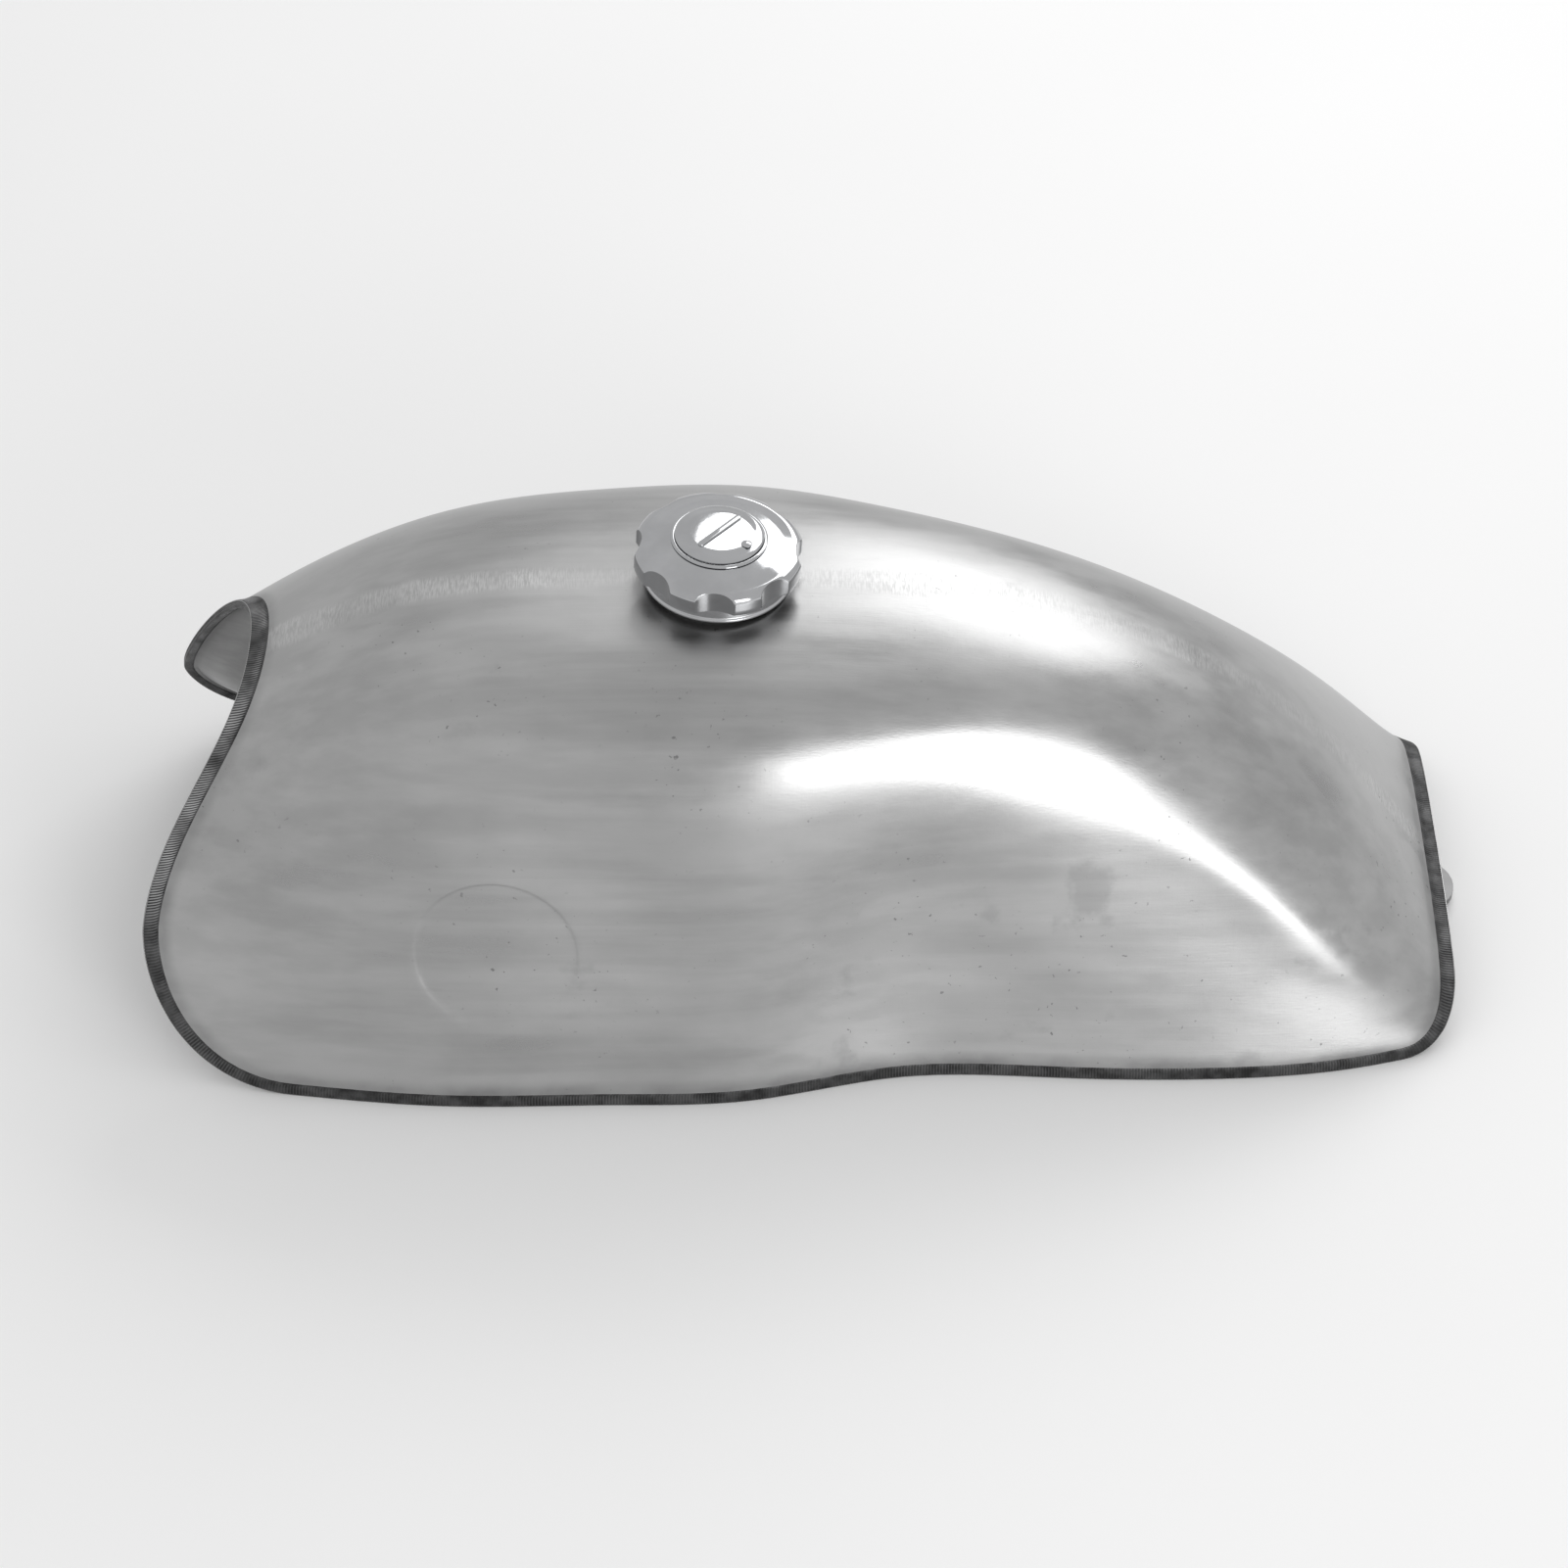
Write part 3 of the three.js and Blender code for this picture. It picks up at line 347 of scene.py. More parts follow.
def outline(inset):
    """The three edges of the skin as (x, t), inset by a distance: front and rear arch, and the side.

    The arches run from the crown down, and each meets the side in the middle of a rounded lower corner."""
    diagonal = math.pi / 4
    arc = np.linspace(0, diagonal, 200)
    front_centre = (FRONT_TIP[0] + FRONT_CORNER_R, FRONT_TIP[1])
    rear_centre = (REAR_X - REAR_CORNER_R, RIM_Z + REAR_CORNER_R)
    front_r = FRONT_CORNER_R - inset
    rear_r = REAR_CORNER_R - inset

    t = np.linspace(0, 1, 1500)
    x = np.full_like(t, FRONT_TIP[0])
    for _ in range(60):
        x = 0.5 * (x + front_x(skin_at(x, t)[..., 2], inset))
    above = skin_at(x, t)[..., 2] > FRONT_TIP[1]
    arc_x, arc_z = corner_arc(front_centre, front_r, arc)
    front = np.r_[x[above], arc_x], np.r_[t[above], t_at_height(arc_x, arc_z)]

    wall_x = np.full(800, REAR_X - inset)
    wall_t = np.linspace(0, 1, 800)
    above = skin_at(wall_x, wall_t)[..., 2] > rear_centre[1]
    arc_x, arc_z = corner_arc(rear_centre, -rear_r, arc)
    rear = np.r_[wall_x[above], arc_x], np.r_[wall_t[above], t_at_height(arc_x, arc_z)]

    down = np.linspace(diagonal, 2 * diagonal, 200)
    first_x, first_z = corner_arc(front_centre, front_r, down)
    last_x, last_z = corner_arc(rear_centre, -rear_r, down[::-1])
    line_x = np.linspace(first_x[-1], last_x[0], 1200)[1:-1]
    side_x = np.r_[first_x, line_x, last_x]
    side_z = np.r_[first_z, np.full_like(line_x, RIM_Z + inset), last_z]
    side_t = np.where(side_z <= RIM_Z + 1e-6, 1.0, t_at_height(side_x, side_z))
    return front, rear, (side_x, side_t)


def graded(count, windows):
    """Grid lines from 0 to 1, closer together in each window (centre, half width, boost)."""
    fine = np.linspace(0, 1, 4000)
    density = np.ones_like(fine)
    for centre, half, boost in windows:
        density += boost * np.clip(1.25 - np.abs(fine - centre) / half, 0, 1)
    total = np.r_[0, np.cumsum((density[1:] + density[:-1]) / 2)]
    return np.interp(np.linspace(0, total[-1], count), total, fine)


def patch(edges, u, v):
    """Grid of (x, t) filled in between the edges of an outline: rows u from front to rear, columns v down."""
    front, rear, side = edges
    fore_x, fore_t = evenly(*front, v)
    aft_x, aft_t = evenly(*rear, v)
    side_x, side_t = evenly(*side, u)
    top_x = fore_x[0] + (aft_x[0] - fore_x[0]) * u
    back, down = u[:, None], v[None, :]
    x = ((1 - back) * fore_x + back * aft_x + (1 - down) * top_x[:, None] + down * side_x[:, None]
         - (1 - back) * (1 - down) * top_x[0] - back * (1 - down) * top_x[-1]
         - (1 - back) * down * side_x[0] - back * down * side_x[-1])
    t = ((1 - back) * fore_t + back * aft_t + down * side_t[:, None]
         - (1 - back) * down * side_t[0] - back * down * side_t[-1])
    return x, np.clip(t, 0, 1)


def round_rim(grid):
    """Values of a grid round its rim: down the front edge, back along the side, up the rear edge."""
    return np.concatenate([grid[0], grid[1:, -1], grid[-1, -2::-1]])


def smooth_along(vectors, passes):
    """Softens a run of vectors along the rim; both ends keep their direction."""
    result = vectors.copy()
    for _ in range(passes):
        result[1:-1] = unit(result[:-2] + 2 * result[1:-1] + result[2:])
    return result


def rim_slope(x, t):
    """Normals of the skin round its rim; both ends lie in the plane of symmetry."""
    slope = round_rim(skin_normal(x, np.minimum(t, 0.995)))
    slope[[0, -1], 1] = 0
    return unit(slope)


def rim_frames(rim, slope):
    """Directions across the flange and square to it, outward as the skin's slope is."""
    along = unit(np.gradient(rim, axis=0))
    out = np.stack([along[:, 2], np.zeros(len(rim)), -along[:, 0]], 1)
    out[0] = -1, 0, 0
    out[-1] = 1, 0, 0
    out = unit(out)
    out[:, 2] = np.minimum(out[:, 2], -FLANGE_DROOP)
    out = smooth_along(unit(out), 6)
    normal = np.cross(along, out)
    normal[[0, -1], 1] = 0
    normal = unit(normal)
    facing_in = (normal * slope).sum(1) < 0
    normal[facing_in] *= -1
    return out, normal


# ---------------------------------------------------------------- sheets with a bent rim

def bend_layers(inside, rim, out, reach, steps=5):
    """Rows of points from the sheet round the bend and out to the flange's free edge."""
    end = rim + out * BEND
    layers = []
    for step in range(1, steps + 1):
        s = step / steps
        layers.append((1 - s) ** 2 * inside + 2 * s * (1 - s) * rim + s * s * end)
    for share in (0.5, 1.0):
        layers.append(rim + out * (BEND + (reach - BEND) * share))
    return np.array(layers)


def sheet_with_flange(grid, normals, layers, layer_normals, thickness):
    """Points and faces of a closed sheet: grid, bent rim, inner face and the edges that join them."""
    rows, columns = grid.shape[:2]
    base = np.arange(rows * columns).reshape(rows, columns)
    rim_index = round_rim(base)
    strip = rows * columns + np.arange(layers.shape[0] * layers.shape[1]).reshape(layers.shape[:2])
    strip = np.vstack([rim_index, strip])
    outer = np.vstack([grid.reshape(-1, 3), layers.reshape(-1, 3)])
    shift = np.vstack([normals.reshape(-1, 3), layer_normals.reshape(-1, 3)])
    inner = outer - shift * thickness
    offset = len(outer)
    faces = quads(base) + quads(strip)
    faces += [[a + offset for a in face[::-1]] for face in faces]
    loop = np.concatenate([strip[::-1, 0], base[1:, 0], strip[1:, -1], strip[-1, -2:0:-1]])
    loop = np.append(loop, loop[0])
    faces += [[int(a), int(b), int(b) + offset, int(a) + offset] for a, b in zip(loop[:-1], loop[1:])]
    return np.vstack([outer, inner]), faces


def mirrored_points(points):
    return points * np.array([1, -1, 1])


# ---------------------------------------------------------------- materials

class Nodes:
    """A material's node tree, with short calls for the nodes used here. Sockets go in and come out."""

    def __init__(self, name):
        self.material = bpy.data.materials.new(name)
        self.material.use_nodes = True
        self.tree = self.material.node_tree
        self.shader = self.tree.nodes["Principled BSDF"]
        self.place = self.tree.nodes.new("ShaderNodeTexCoord").outputs["Object"]

    def add(self, kind, **settings):
        node = self.tree.nodes.new("ShaderNode" + kind)
        for key, value in settings.items():
            setattr(node, key, value)
        return node

    def join(self, source, target):
        if isinstance(source, (int, float)):
            target.default_value = source
        else:
            self.tree.links.new(source, target)

    def math(self, operation, a, b=0.0):
        node = self.add("Math", operation=operation)
        self.join(a, node.inputs[0])
        self.join(b, node.inputs[1])
        return node.outputs[0]

    def noise(self, scale, detail=4, stretch=(1, 1, 1), rough=0.55, turn=(0, 0, 0)):
        mapping = self.add("Mapping")
        mapping.inputs["Scale"].default_value = stretch
        mapping.inputs["Rotation"].default_value = turn
        self.join(self.place, mapping.inputs["Vector"])
        node = self.add("TexNoise")
        node.inputs["Scale"].default_value = scale
        node.inputs["Detail"].default_value = detail
        node.inputs["Roughness"].default_value = rough
        self.join(mapping.outputs[0], node.inputs["Vector"])
        return node.outputs["Fac"]

    def ramp(self, value, low, high, out_low=0.0, out_high=1.0):
        node = self.add("MapRange", interpolation_type="SMOOTHSTEP")
        self.join(value, node.inputs["Value"])
        for key, number in zip(("From Min", "From Max", "To Min", "To Max"), (low, high, out_low, out_high)):
            node.inputs[key].default_value = number
        return node.outputs[0]

    def mix(self, share, first, second):
        """Mix of two colours; each is a socket or an (r, g, b)."""
        node = self.add("Mix", data_type="RGBA")
        self.join(share, node.inputs["Factor"])
        for slot, colour in (("A", first), ("B", second)):
            socket = [s for s in node.inputs if s.name == slot and s.type == "RGBA"][0]
            if isinstance(colour, tuple):
                socket.default_value = (*colour, 1)
            else:
                self.tree.links.new(colour, socket)
        return [s for s in node.outputs if s.type == "RGBA"][0]

    def attribute(self, name):
        return self.add("Attribute", attribute_name=name).outputs["Fac"]

    def axes(self):
        node = self.add("SeparateXYZ")
        self.join(self.place, node.inputs[0])
        return node.outputs

    def bump(self, height, distance, strength=1.0, under=None):
        node = self.add("Bump")
        node.inputs["Strength"].default_value = strength
        node.inputs["Distance"].default_value = distance
        self.join(height, node.inputs["Height"])
        if under is not None:
            self.tree.links.new(under, node.inputs["Normal"])
        return node.outputs[0]

    def finish(self, colour, roughness, normal=None, metallic=1.0):
        self.join(metallic, self.shader.inputs["Metallic"])
        self.tree.links.new(colour, self.shader.inputs["Base Color"])
        self.join(roughness, self.shader.inputs["Roughness"])
        if normal is not None:
            self.tree.links.new(normal, self.shader.inputs["Normal"])
        return self.material


STEEL_TONE = 0.41
STEEL_ROUGH = 0.33


def grey(value):
    """Grey with a trace of blue."""
    return (value, value, value * 1.01)


def ground_steel():
    """Outer skin: bare pressed steel, rubbed down by hand, with a ground weld along the crown.

    Distances in the materials are in metres."""
    n = Nodes("ground_steel")
    across = n.math("ABSOLUTE", n.axes()["Y"])
    cloud = n.noise(26, 6, stretch=(0.5, 1, 1))
    blotch = n.noise(8, 4)
    streak = n.noise(90, 5, stretch=(0.06, 1, 1), turn=(0, 0, 0.05))
    scratch = n.noise(1500, 2, stretch=(0.02, 1, 1), turn=(0, 0.1, 0.06))
    cross = n.noise(1100, 2, stretch=(1, 0.04, 0.04), turn=(0.3, 0.2, 0.5))
    tone = n.math("ADD", n.ramp(blotch, 0.3, 0.7, -0.02, 0.02), n.ramp(cloud, 0.3, 0.7, -0.035, 0.03))
    tone = n.math("ADD", tone, n.ramp(streak, 0.35, 0.65, -0.025, 0.025))
    tone = n.math("ADD", tone, STEEL_TONE)

    # hand-ground band over the weld, brighter where the grinder dwelt
    waver = n.math("MULTIPLY", n.math("SUBTRACT", n.noise(22, 3), 0.5), 0.012)
    band = n.ramp(n.math("ADD", across, waver), 0.0035, 0.0085, 1.0, 0.0)
    hatch = n.noise(2300, 3, stretch=(1, 0.10, 0.5), turn=(0, 0, 0.35))
    dwell = n.ramp(n.noise(15, 3, stretch=(1, 0.3, 1)), 0.42, 0.62)
    ground = n.math("MULTIPLY", band, n.math("ADD", n.math("MULTIPLY", dwell, 0.7), 0.3))
    tone = n.math("ADD", tone, n.math("MULTIPLY", ground, n.ramp(hatch, 0.35, 0.65, -0.03, 0.12)))

    # painted shade beside the flange's bend, in patches
    rim = n.attribute("rim")
    patchy = n.ramp(n.noise(40, 4), 0.3, 0.8, 0.3, 1.0)
    tint = n.math("MULTIPLY", n.ramp(rim, 0.0015, 0.0075, 1.0, 0.0), patchy)
    base = n.add("CombineColor")
    for channel in base.inputs:
        n.join(tone, channel)
    colour = n.mix(n.math("MULTIPLY", tint, 0.6), base.outputs[0], grey(0.13))

    # small dark specks and a few stains
    speck = n.math("MULTIPLY", n.ramp(n.noise(420, 2), 0.69, 0.74), n.ramp(n.noise(13, 2), 0.45, 0.65))
    colour = n.mix(n.math("MULTIPLY", speck, 0.6), colour, grey(0.10))
    stain = n.math("MULTIPLY", n.ramp(n.noise(34, 5), 0.60, 0.70), n.ramp(n.noise(7, 2), 0.5, 0.62))
    colour = n.mix(n.math("MULTIPLY", stain, 0.28), colour, grey(0.2))

    rough = n.math("ADD", n.ramp(cloud, 0.3, 0.7, -0.04, 0.05), n.ramp(streak, 0.3, 0.7, -0.04, 0.04))
    rough = n.math("ADD", rough, n.math("MULTIPLY", ground, 0.06))
    rough = n.math("ADD", rough, STEEL_ROUGH)
    normal = n.bump(n.noise(48, 2), 0.0004, 0.22)
    normal = n.bump(scratch, 0.00005, 0.5, normal)
    normal = n.bump(cross, 0.00003, 0.25, normal)
    normal = n.bump(n.math("MULTIPLY", ground, hatch), 0.00005, 0.7, normal)
    return n.finish(colour, rough, normal)


def seam_steel():
    """Pan and fittings: plain pressed steel, not ground."""
    n = Nodes("seam_steel")
    cloud = n.noise(18, 5)
    fine = n.noise(260, 3, stretch=(0.15, 1, 1))
    tone = n.math("ADD", n.ramp(cloud, 0.3, 0.7, 0.30, 0.42), n.ramp(fine, 0.3, 0.7, -0.02, 0.02))
    base = n.add("CombineColor")
    for channel in base.inputs:
        n.join(tone, channel)
    rim = n.attribute("rim")
    # painted shade where the pan runs into the flange, darkest at the bend line and gone 12 mm in; pieces
    # without the rim attribute are darkened all over
    colour = n.mix(n.ramp(rim, 0.0, 0.012, 0.6, 0.0), base.outputs[0], grey(0.12))
    rough = n.ramp(cloud, 0.3, 0.7, 0.38, 0.52)
    normal = n.bump(fine, 0.00005, 0.5, n.bump(n.noise(90, 2), 0.0003, 0.3))
    return n.finish(colour, rough, normal)


def weld_steel():
    """Roller-welded flange: heat-blackened, with painted highlights on the ripple crests in patches,
    strongest high up on the front arch.
    """
    n = Nodes("weld_steel")
    crest = n.attribute("crest")
    # painted highlights on the ripple crests, in patches, faint low down on the flange
    high = n.ramp(n.axes()["Z"], 0.050, 0.080, 0.12, 1.0)
    glint_patches = n.math("MULTIPLY", n.ramp(n.noise(26, 5), 0.40, 0.62, 0.1, 1.0), high)
    crest_glints = n.math("MULTIPLY", n.ramp(crest, 0.3, 0.9), glint_patches)
    dark = n.mix(n.ramp(n.noise(150, 4), 0.3, 0.7), grey(0.035), grey(0.10))
    colour = n.mix(crest_glints, dark, grey(0.55))
    rough = n.ramp(crest_glints, 0, 1, 0.44, 0.26)
    normal = n.bump(n.noise(1100, 3), 0.00010, 0.6)
    return n.finish(colour, rough, normal)


def plain_metal(name, colour, rough, wear=0.06, bump=0.00003, metallic=1.0):
    """Metal with cloudy tone, a fine grain and slightly uneven gloss."""
    n = Nodes(name)
    cloud = n.noise(60, 4)
    fine = n.noise(1100, 2)
    light = tuple(min(1, c * (1 + wear)) for c in colour)
    dull = tuple(c * (1 - wear) for c in colour)
    tint = n.mix(n.ramp(cloud, 0.3, 0.7), dull, light)
    gloss = n.math("ADD", n.ramp(cloud, 0.3, 0.7, -0.15 * rough, 0.2 * rough), rough)
    return n.finish(tint, gloss, n.bump(fine, bump, 0.5), metallic)


steel = ground_steel()
pan_steel = seam_steel()
weld = weld_steel()
chrome = plain_metal("chrome_plate", (0.46, 0.465, 0.475), 0.08, wear=0.06, bump=0.00001)
satin = plain_metal("satin_chrome", (0.50, 0.505, 0.515), 0.25, wear=0.06, bump=0.00002)
zinc = plain_metal("zinc_plated_steel", (0.62, 0.61, 0.56), 0.3, wear=0.12)
cast = plain_metal("cast_zinc_alloy", (0.42, 0.42, 0.43), 0.5, wear=0.12, bump=0.0001)
brass = plain_metal("machined_brass", (0.72, 0.55, 0.25), 0.26, wear=0.10)
spring = plain_metal("spring_steel", (0.4, 0.4, 0.42), 0.3, wear=0.1)
rubber = plain_metal("fuel_rubber", (0.025, 0.025, 0.027), 0.7, wear=0.25, bump=0.0002, metallic=0.0)


# ---------------------------------------------------------------- tank skins and pan

def add_rim_attribute(piece, rim):
    """Distance of each corner from the bend line, in metres, for the painted shade beside the weld."""
    points = np.zeros(len(piece.data.vertices) * 3)
    piece.data.vertices.foreach_get("co", points)
    points = points.reshape(-1, 3)
    points[:, 1] = np.abs(points[:, 1])
    far = 9.0
    nearest = np.full(len(points), far)
    starts = rim[:-1] * MM
    runs = np.diff(rim, axis=0) * MM
    for start, run in zip(starts, runs):
        share = np.clip((points - start) @ run / (run @ run), 0, 1)
        nearest = np.minimum(nearest, np.linalg.norm(points - start - share[:, None] * run, axis=1))
    layer = piece.data.attributes.new("rim", "FLOAT", "POINT")
    layer.data.foreach_set("value", nearest.astype(np.float32))


# rows from front to rear and columns from crown to rim, closer together at the badge seat and the edges
u_lines = graded(150, [(0.285, 0.085, 2.2), (0.0, 0.03, 1.5), (1.0, 0.03, 1.5)])
v_lines = graded(104, [(0.68, 0.19, 1.6), (1.0, 0.04, 1.0)])

rim_x, rim_t = patch(outline(0.0), u_lines, v_lines)
bend_line = round_rim(skin_at(rim_x, rim_t))
flange_out, flange_normal = rim_frames(bend_line, rim_slope(rim_x, rim_t))


def focus_on_recess(x, t):
    """Draws grid points near the edge of the badge seat toward it, so that the step is crisp."""
    centre = np.array(RECESS_AT)
    start = np.linalg.norm(skin_at(x, t) - centre, axis=-1)
    share = np.clip((start - RECESS_R) / RECESS_FOCUS, -1, 1)
    drawn = RECESS_R + RECESS_FOCUS * np.sign(share) * np.abs(share) ** RECESS_FOCUS_POWER
    wanted = np.where(np.abs(share) < 1, drawn, start)
    # two steps of Newton's method toward the wanted distance, along the skin
    for _ in range(2):
        offset = skin_at(x, t) - centre
        distance = np.linalg.norm(offset, axis=-1)
        move = offset / np.maximum(distance, 1)[..., None] * (wanted - distance)[..., None]
        along_x, along_t = skin_slopes(x, t)
        xx, xt, tt = (along_x ** 2).sum(-1), (along_x * along_t).sum(-1), (along_t ** 2).sum(-1)
        mx, mt = (along_x * move).sum(-1), (along_t * move).sum(-1)
        scale = xx * tt - xt ** 2
        x = x + (tt * mx - xt * mt) / scale
        t = t + (xx * mt - xt * mx) / scale
    return x, t


skin_x, skin_t = patch(outline(BEND), u_lines, v_lines)
skin_x, skin_t = focus_on_recess(skin_x, skin_t)
skin = skin_at(skin_x, skin_t)
skin_normals = skin_normal(skin_x, skin_t)
skin_normals[:, 0, 1] = 0
skin_normals = unit(skin_normals)


def press_recess(points, normals):
    """The shallow round seat for a badge."""
    distance = np.linalg.norm(points - np.array(RECESS_AT), axis=-1)
    share = np.clip((RECESS_R + RECESS_EDGE / 2 - distance) / RECESS_EDGE, 0, 1)
    depth = RECESS_DEPTH * share * share * (3 - 2 * share)
    return points - normals * depth[..., None]


def layer_normals_of(layers, outward_hint):
    """Normals of the bent rim from its own slopes, turned to the side of the hint."""
    along = np.gradient(layers, axis=1)
    across = np.gradient(layers, axis=0)
    normal = np.cross(along, across)
    normal[:, [0, -1], 1] = 0
    normal = unit(normal)
    flip = (normal * outward_hint[None]).sum(-1) < 0
    normal[flip] *= -1
    return normal


skin = press_recess(skin, skin_normals)
skin_rim = bend_layers(round_rim(skin), bend_line, flange_out, FLANGE - WELD_COVER)
skin_rim_normals = layer_normals_of(skin_rim, flange_normal)
points, faces = sheet_with_flange(skin, skin_normals, skin_rim, skin_rim_normals, SHEET)
right = new_piece("right_skin", points, faces, "tank", steel)
left = new_piece("left_skin", mirrored_points(points), faces, "tank", steel)
for skin_piece, node in ((right, "right_shell"), (left, "left_shell")):
    cut_hole(skin_piece, FILLER_HOLE_R, CAP_AT, CAP_LEAN)
    add_rim_attribute(skin_piece, bend_line)
    sharpen(skin_piece, 50)
    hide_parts(node)


# ---------------------------------------------------------------- bottom pan

def pan_at(x, t, edge):
    """Points of the plain tunnel section: roof, wall and floor out to the edge."""
    width, roof = np.moveaxis(tunnel_size(x), -1, 0)
    zero = np.zeros_like(x)
    ys = [zero, 0.6 * width, width, width + 2, width + 5, 0.5 * (width + edge), edge]
    zs = [roof, roof, roof - 2, 0.5 * (roof + FLOOR_Z), FLOOR_Z + zero, FLOOR_Z + zero, FLOOR_Z + zero]
    poles = np.stack([np.stack(ys, -1), np.stack(zs, -1)], -1)
    return section_point(x, poles, t)


def fade(distance):
    """From 1 at no distance to 0 at 1 and beyond."""
    return np.clip(1 - distance, 0, 1) ** 2


def pan_surface(u, v):
    """The tunnel section, pulled onto the rim at the front arch, the sides and the rear arch."""
    x, t = patch(outline(0.0), u, v)
    plain = pan_at(x, np.broadcast_to(v, x.shape), skin_at(x, np.ones_like(x))[..., 1])
    rim = round_rim(skin_at(x, t))
    slope = rim_slope(x, t)
    out, normal = rim_frames(rim, slope)
    mitre = (slope + normal) / (1 + (slope * normal).sum(-1))[:, None]
    pan_rim = rim - mitre * (SHEET + RIM_GAP)
    rows, columns = x.shape
    front = pan_rim[:columns]
    side = pan_rim[columns - 1:columns - 1 + rows]
    rear = pan_rim[columns - 1 + rows - 1:][::-1]
    near_front = fade(u / FRONT_BLEND)[:, None, None]
    near_rear = fade((1 - u) / REAR_BLEND)[:, None, None]
    near_edge = fade((1 - v) / EDGE_BLEND)[None, :, None]
    pull_front = (front - plain[0])[None]
    pull_rear = (rear - plain[-1])[None]
    pull_side = (side - plain[:, -1])[:, None]
    pull_side = pull_side - near_front * pull_front[:, -1:] - near_rear * pull_rear[:, -1:]
    surface = plain + near_front * pull_front + near_rear * pull_rear + near_edge * pull_side
    return surface, rim, out, normal


def pan_piece():
    u = graded(96, [(0.0, 0.1, 2.0), (1.0, 0.05, 2.0)])
    v = graded(60, [(0.45, 0.2, 0.8), (1.0, 0.08, 1.0)])
    grid, rim, out, normal = pan_surface(u, v)
    along_u = np.gradient(grid, axis=0)
    along_v = np.gradient(grid, axis=1)
    normals = unit(np.cross(along_u, along_v))
    normals[:, 0, 1] = 0
    normals = unit(normals)
    depth = SHEET + RIM_GAP
    steps = np.array([0.34, 0.67, 1.0])
    layers = np.array([rim + out * (FLANGE - WELD_COVER) * s - normal * depth for s in steps])
    layer_normals = np.broadcast_to(normal, layers.shape)
    half_points, half_faces = sheet_with_flange(grid, normals, layers, layer_normals, SHEET)
    # both halves in one pressing: the shared centre line is welded, and its wall of faces removed
    count = len(half_points)
    points = np.vstack([half_points, mirrored_points(half_points)])
    faces = half_faces + [[a + count for a in face[::-1]] for face in half_faces]
    centre = np.abs(points[:, 1]) < 1e-6
    faces = [face for face in faces if not all(centre[a] for a in face)]
    piece = new_piece("tunnel_pan", points, faces, "tank", pan_steel)
    low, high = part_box("petcock_bung")
    bung_at = 0.5 * (Vector(low) + Vector(high)) / MM
    cut_hole(piece, BUNG_HOLE_R, bung_at, 0)
    add_rim_attribute(piece, rim)
    sharpen(piece, 40)
    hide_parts("bottom_pan")


pan_piece()


# ---------------------------------------------------------------- roller weld round the rim

def weld_track(name, side):
    """The rippled track that the roller welder leaves on both sheets of the flange, round its free edge."""
    length = np.r_[0, np.cumsum(np.linalg.norm(np.diff(bend_line, axis=0), axis=1))]
    count = int(length[-1] / WELD_PITCH) * WELD_SAMPLES + 1
    at = np.linspace(0, length[-1], count)

    def along(values):
        return np.stack([np.interp(at, length, values[:, k]) for k in range(3)], 1)

    rim = along(bend_line)
    out = unit(along(flange_out))
    normal = unit(along(flange_normal))
    inside = along(round_rim(skin))
    uneven = 0.75 + 0.25 * np.sin(at * 0.31) * np.sin(at * 0.117 + 1)
    crest = 0.5 + 0.5 * np.cos(2 * math.pi * at / WELD_PITCH)
    lift = WELD_RIPPLE * uneven * crest
    # the track starts on the fillet: way round the bend, height over it, share of the ripple
    start = [(0.40, -0.25, 0), (0.46, 0.04, 0.3), (0.62, 0.05, 0.9), (0.82, 0.05, 1)]
    # then goes round the free edges, with a groove between the sheets, and back below the flange:
    # distance across the flange, height over the outer face, share of the ripple
    under = -(2 * SHEET + RIM_GAP)
    edge = FLANGE - 0.01
    groove = edge - 0.4
    section = [
        (3.2, 0.05, 1), (4.6, 0.05, 1), (5.5, 0.02, 0.8), (edge, -0.35, 0.35), (edge, -1.05, 0.1),
        (groove, -1.25, 0), (groove, -1.55, 0), (edge, -1.75, 0.1), (edge, under + 0.35, 0.3),
        (5.8, under, -0.6), (5.2, under - 0.05, -1), (3.9, under - 0.06, -1),
        (WELD_UNDER + 1.4, under - 0.06, -1), (WELD_UNDER + 0.5, under - 0.03, -0.4),
        (WELD_UNDER, under + 0.3, 0),
    ]
    flat = rim + out * BEND
    lines = [((1 - s) ** 2 * inside + 2 * s * (1 - s) * rim + s * s * flat, height, share)
             for s, height, share in start]
    lines += [(rim + out * reach, height, share) for reach, height, share in section]
    rows = []
    crests = []
    for line, height, share in lines:
        level = height + lift * share
        rows.append(line + normal * level[:, None])
        crests.append(crest * abs(share))
    grid = np.array(rows)
    index = np.arange(grid.shape[0] * count).reshape(grid.shape[0], count)
    faces = quads(np.vstack([index, index[:1]]))
    faces += [index[::-1, 0].tolist(), index[:, -1].tolist()]
    points = grid.reshape(-1, 3)
    if side < 0:
        points = mirrored_points(points)
    piece = new_piece(name, points, faces, "tank", weld)
    layer = piece.data.attributes.new("crest", "FLOAT", "POINT")
    layer.data.foreach_set("value", np.array(crests).ravel().astype(np.float32))


weld_track("right_rim_weld", 1)
weld_track("left_rim_weld", -1)


# ---------------------------------------------------------------- filler cap

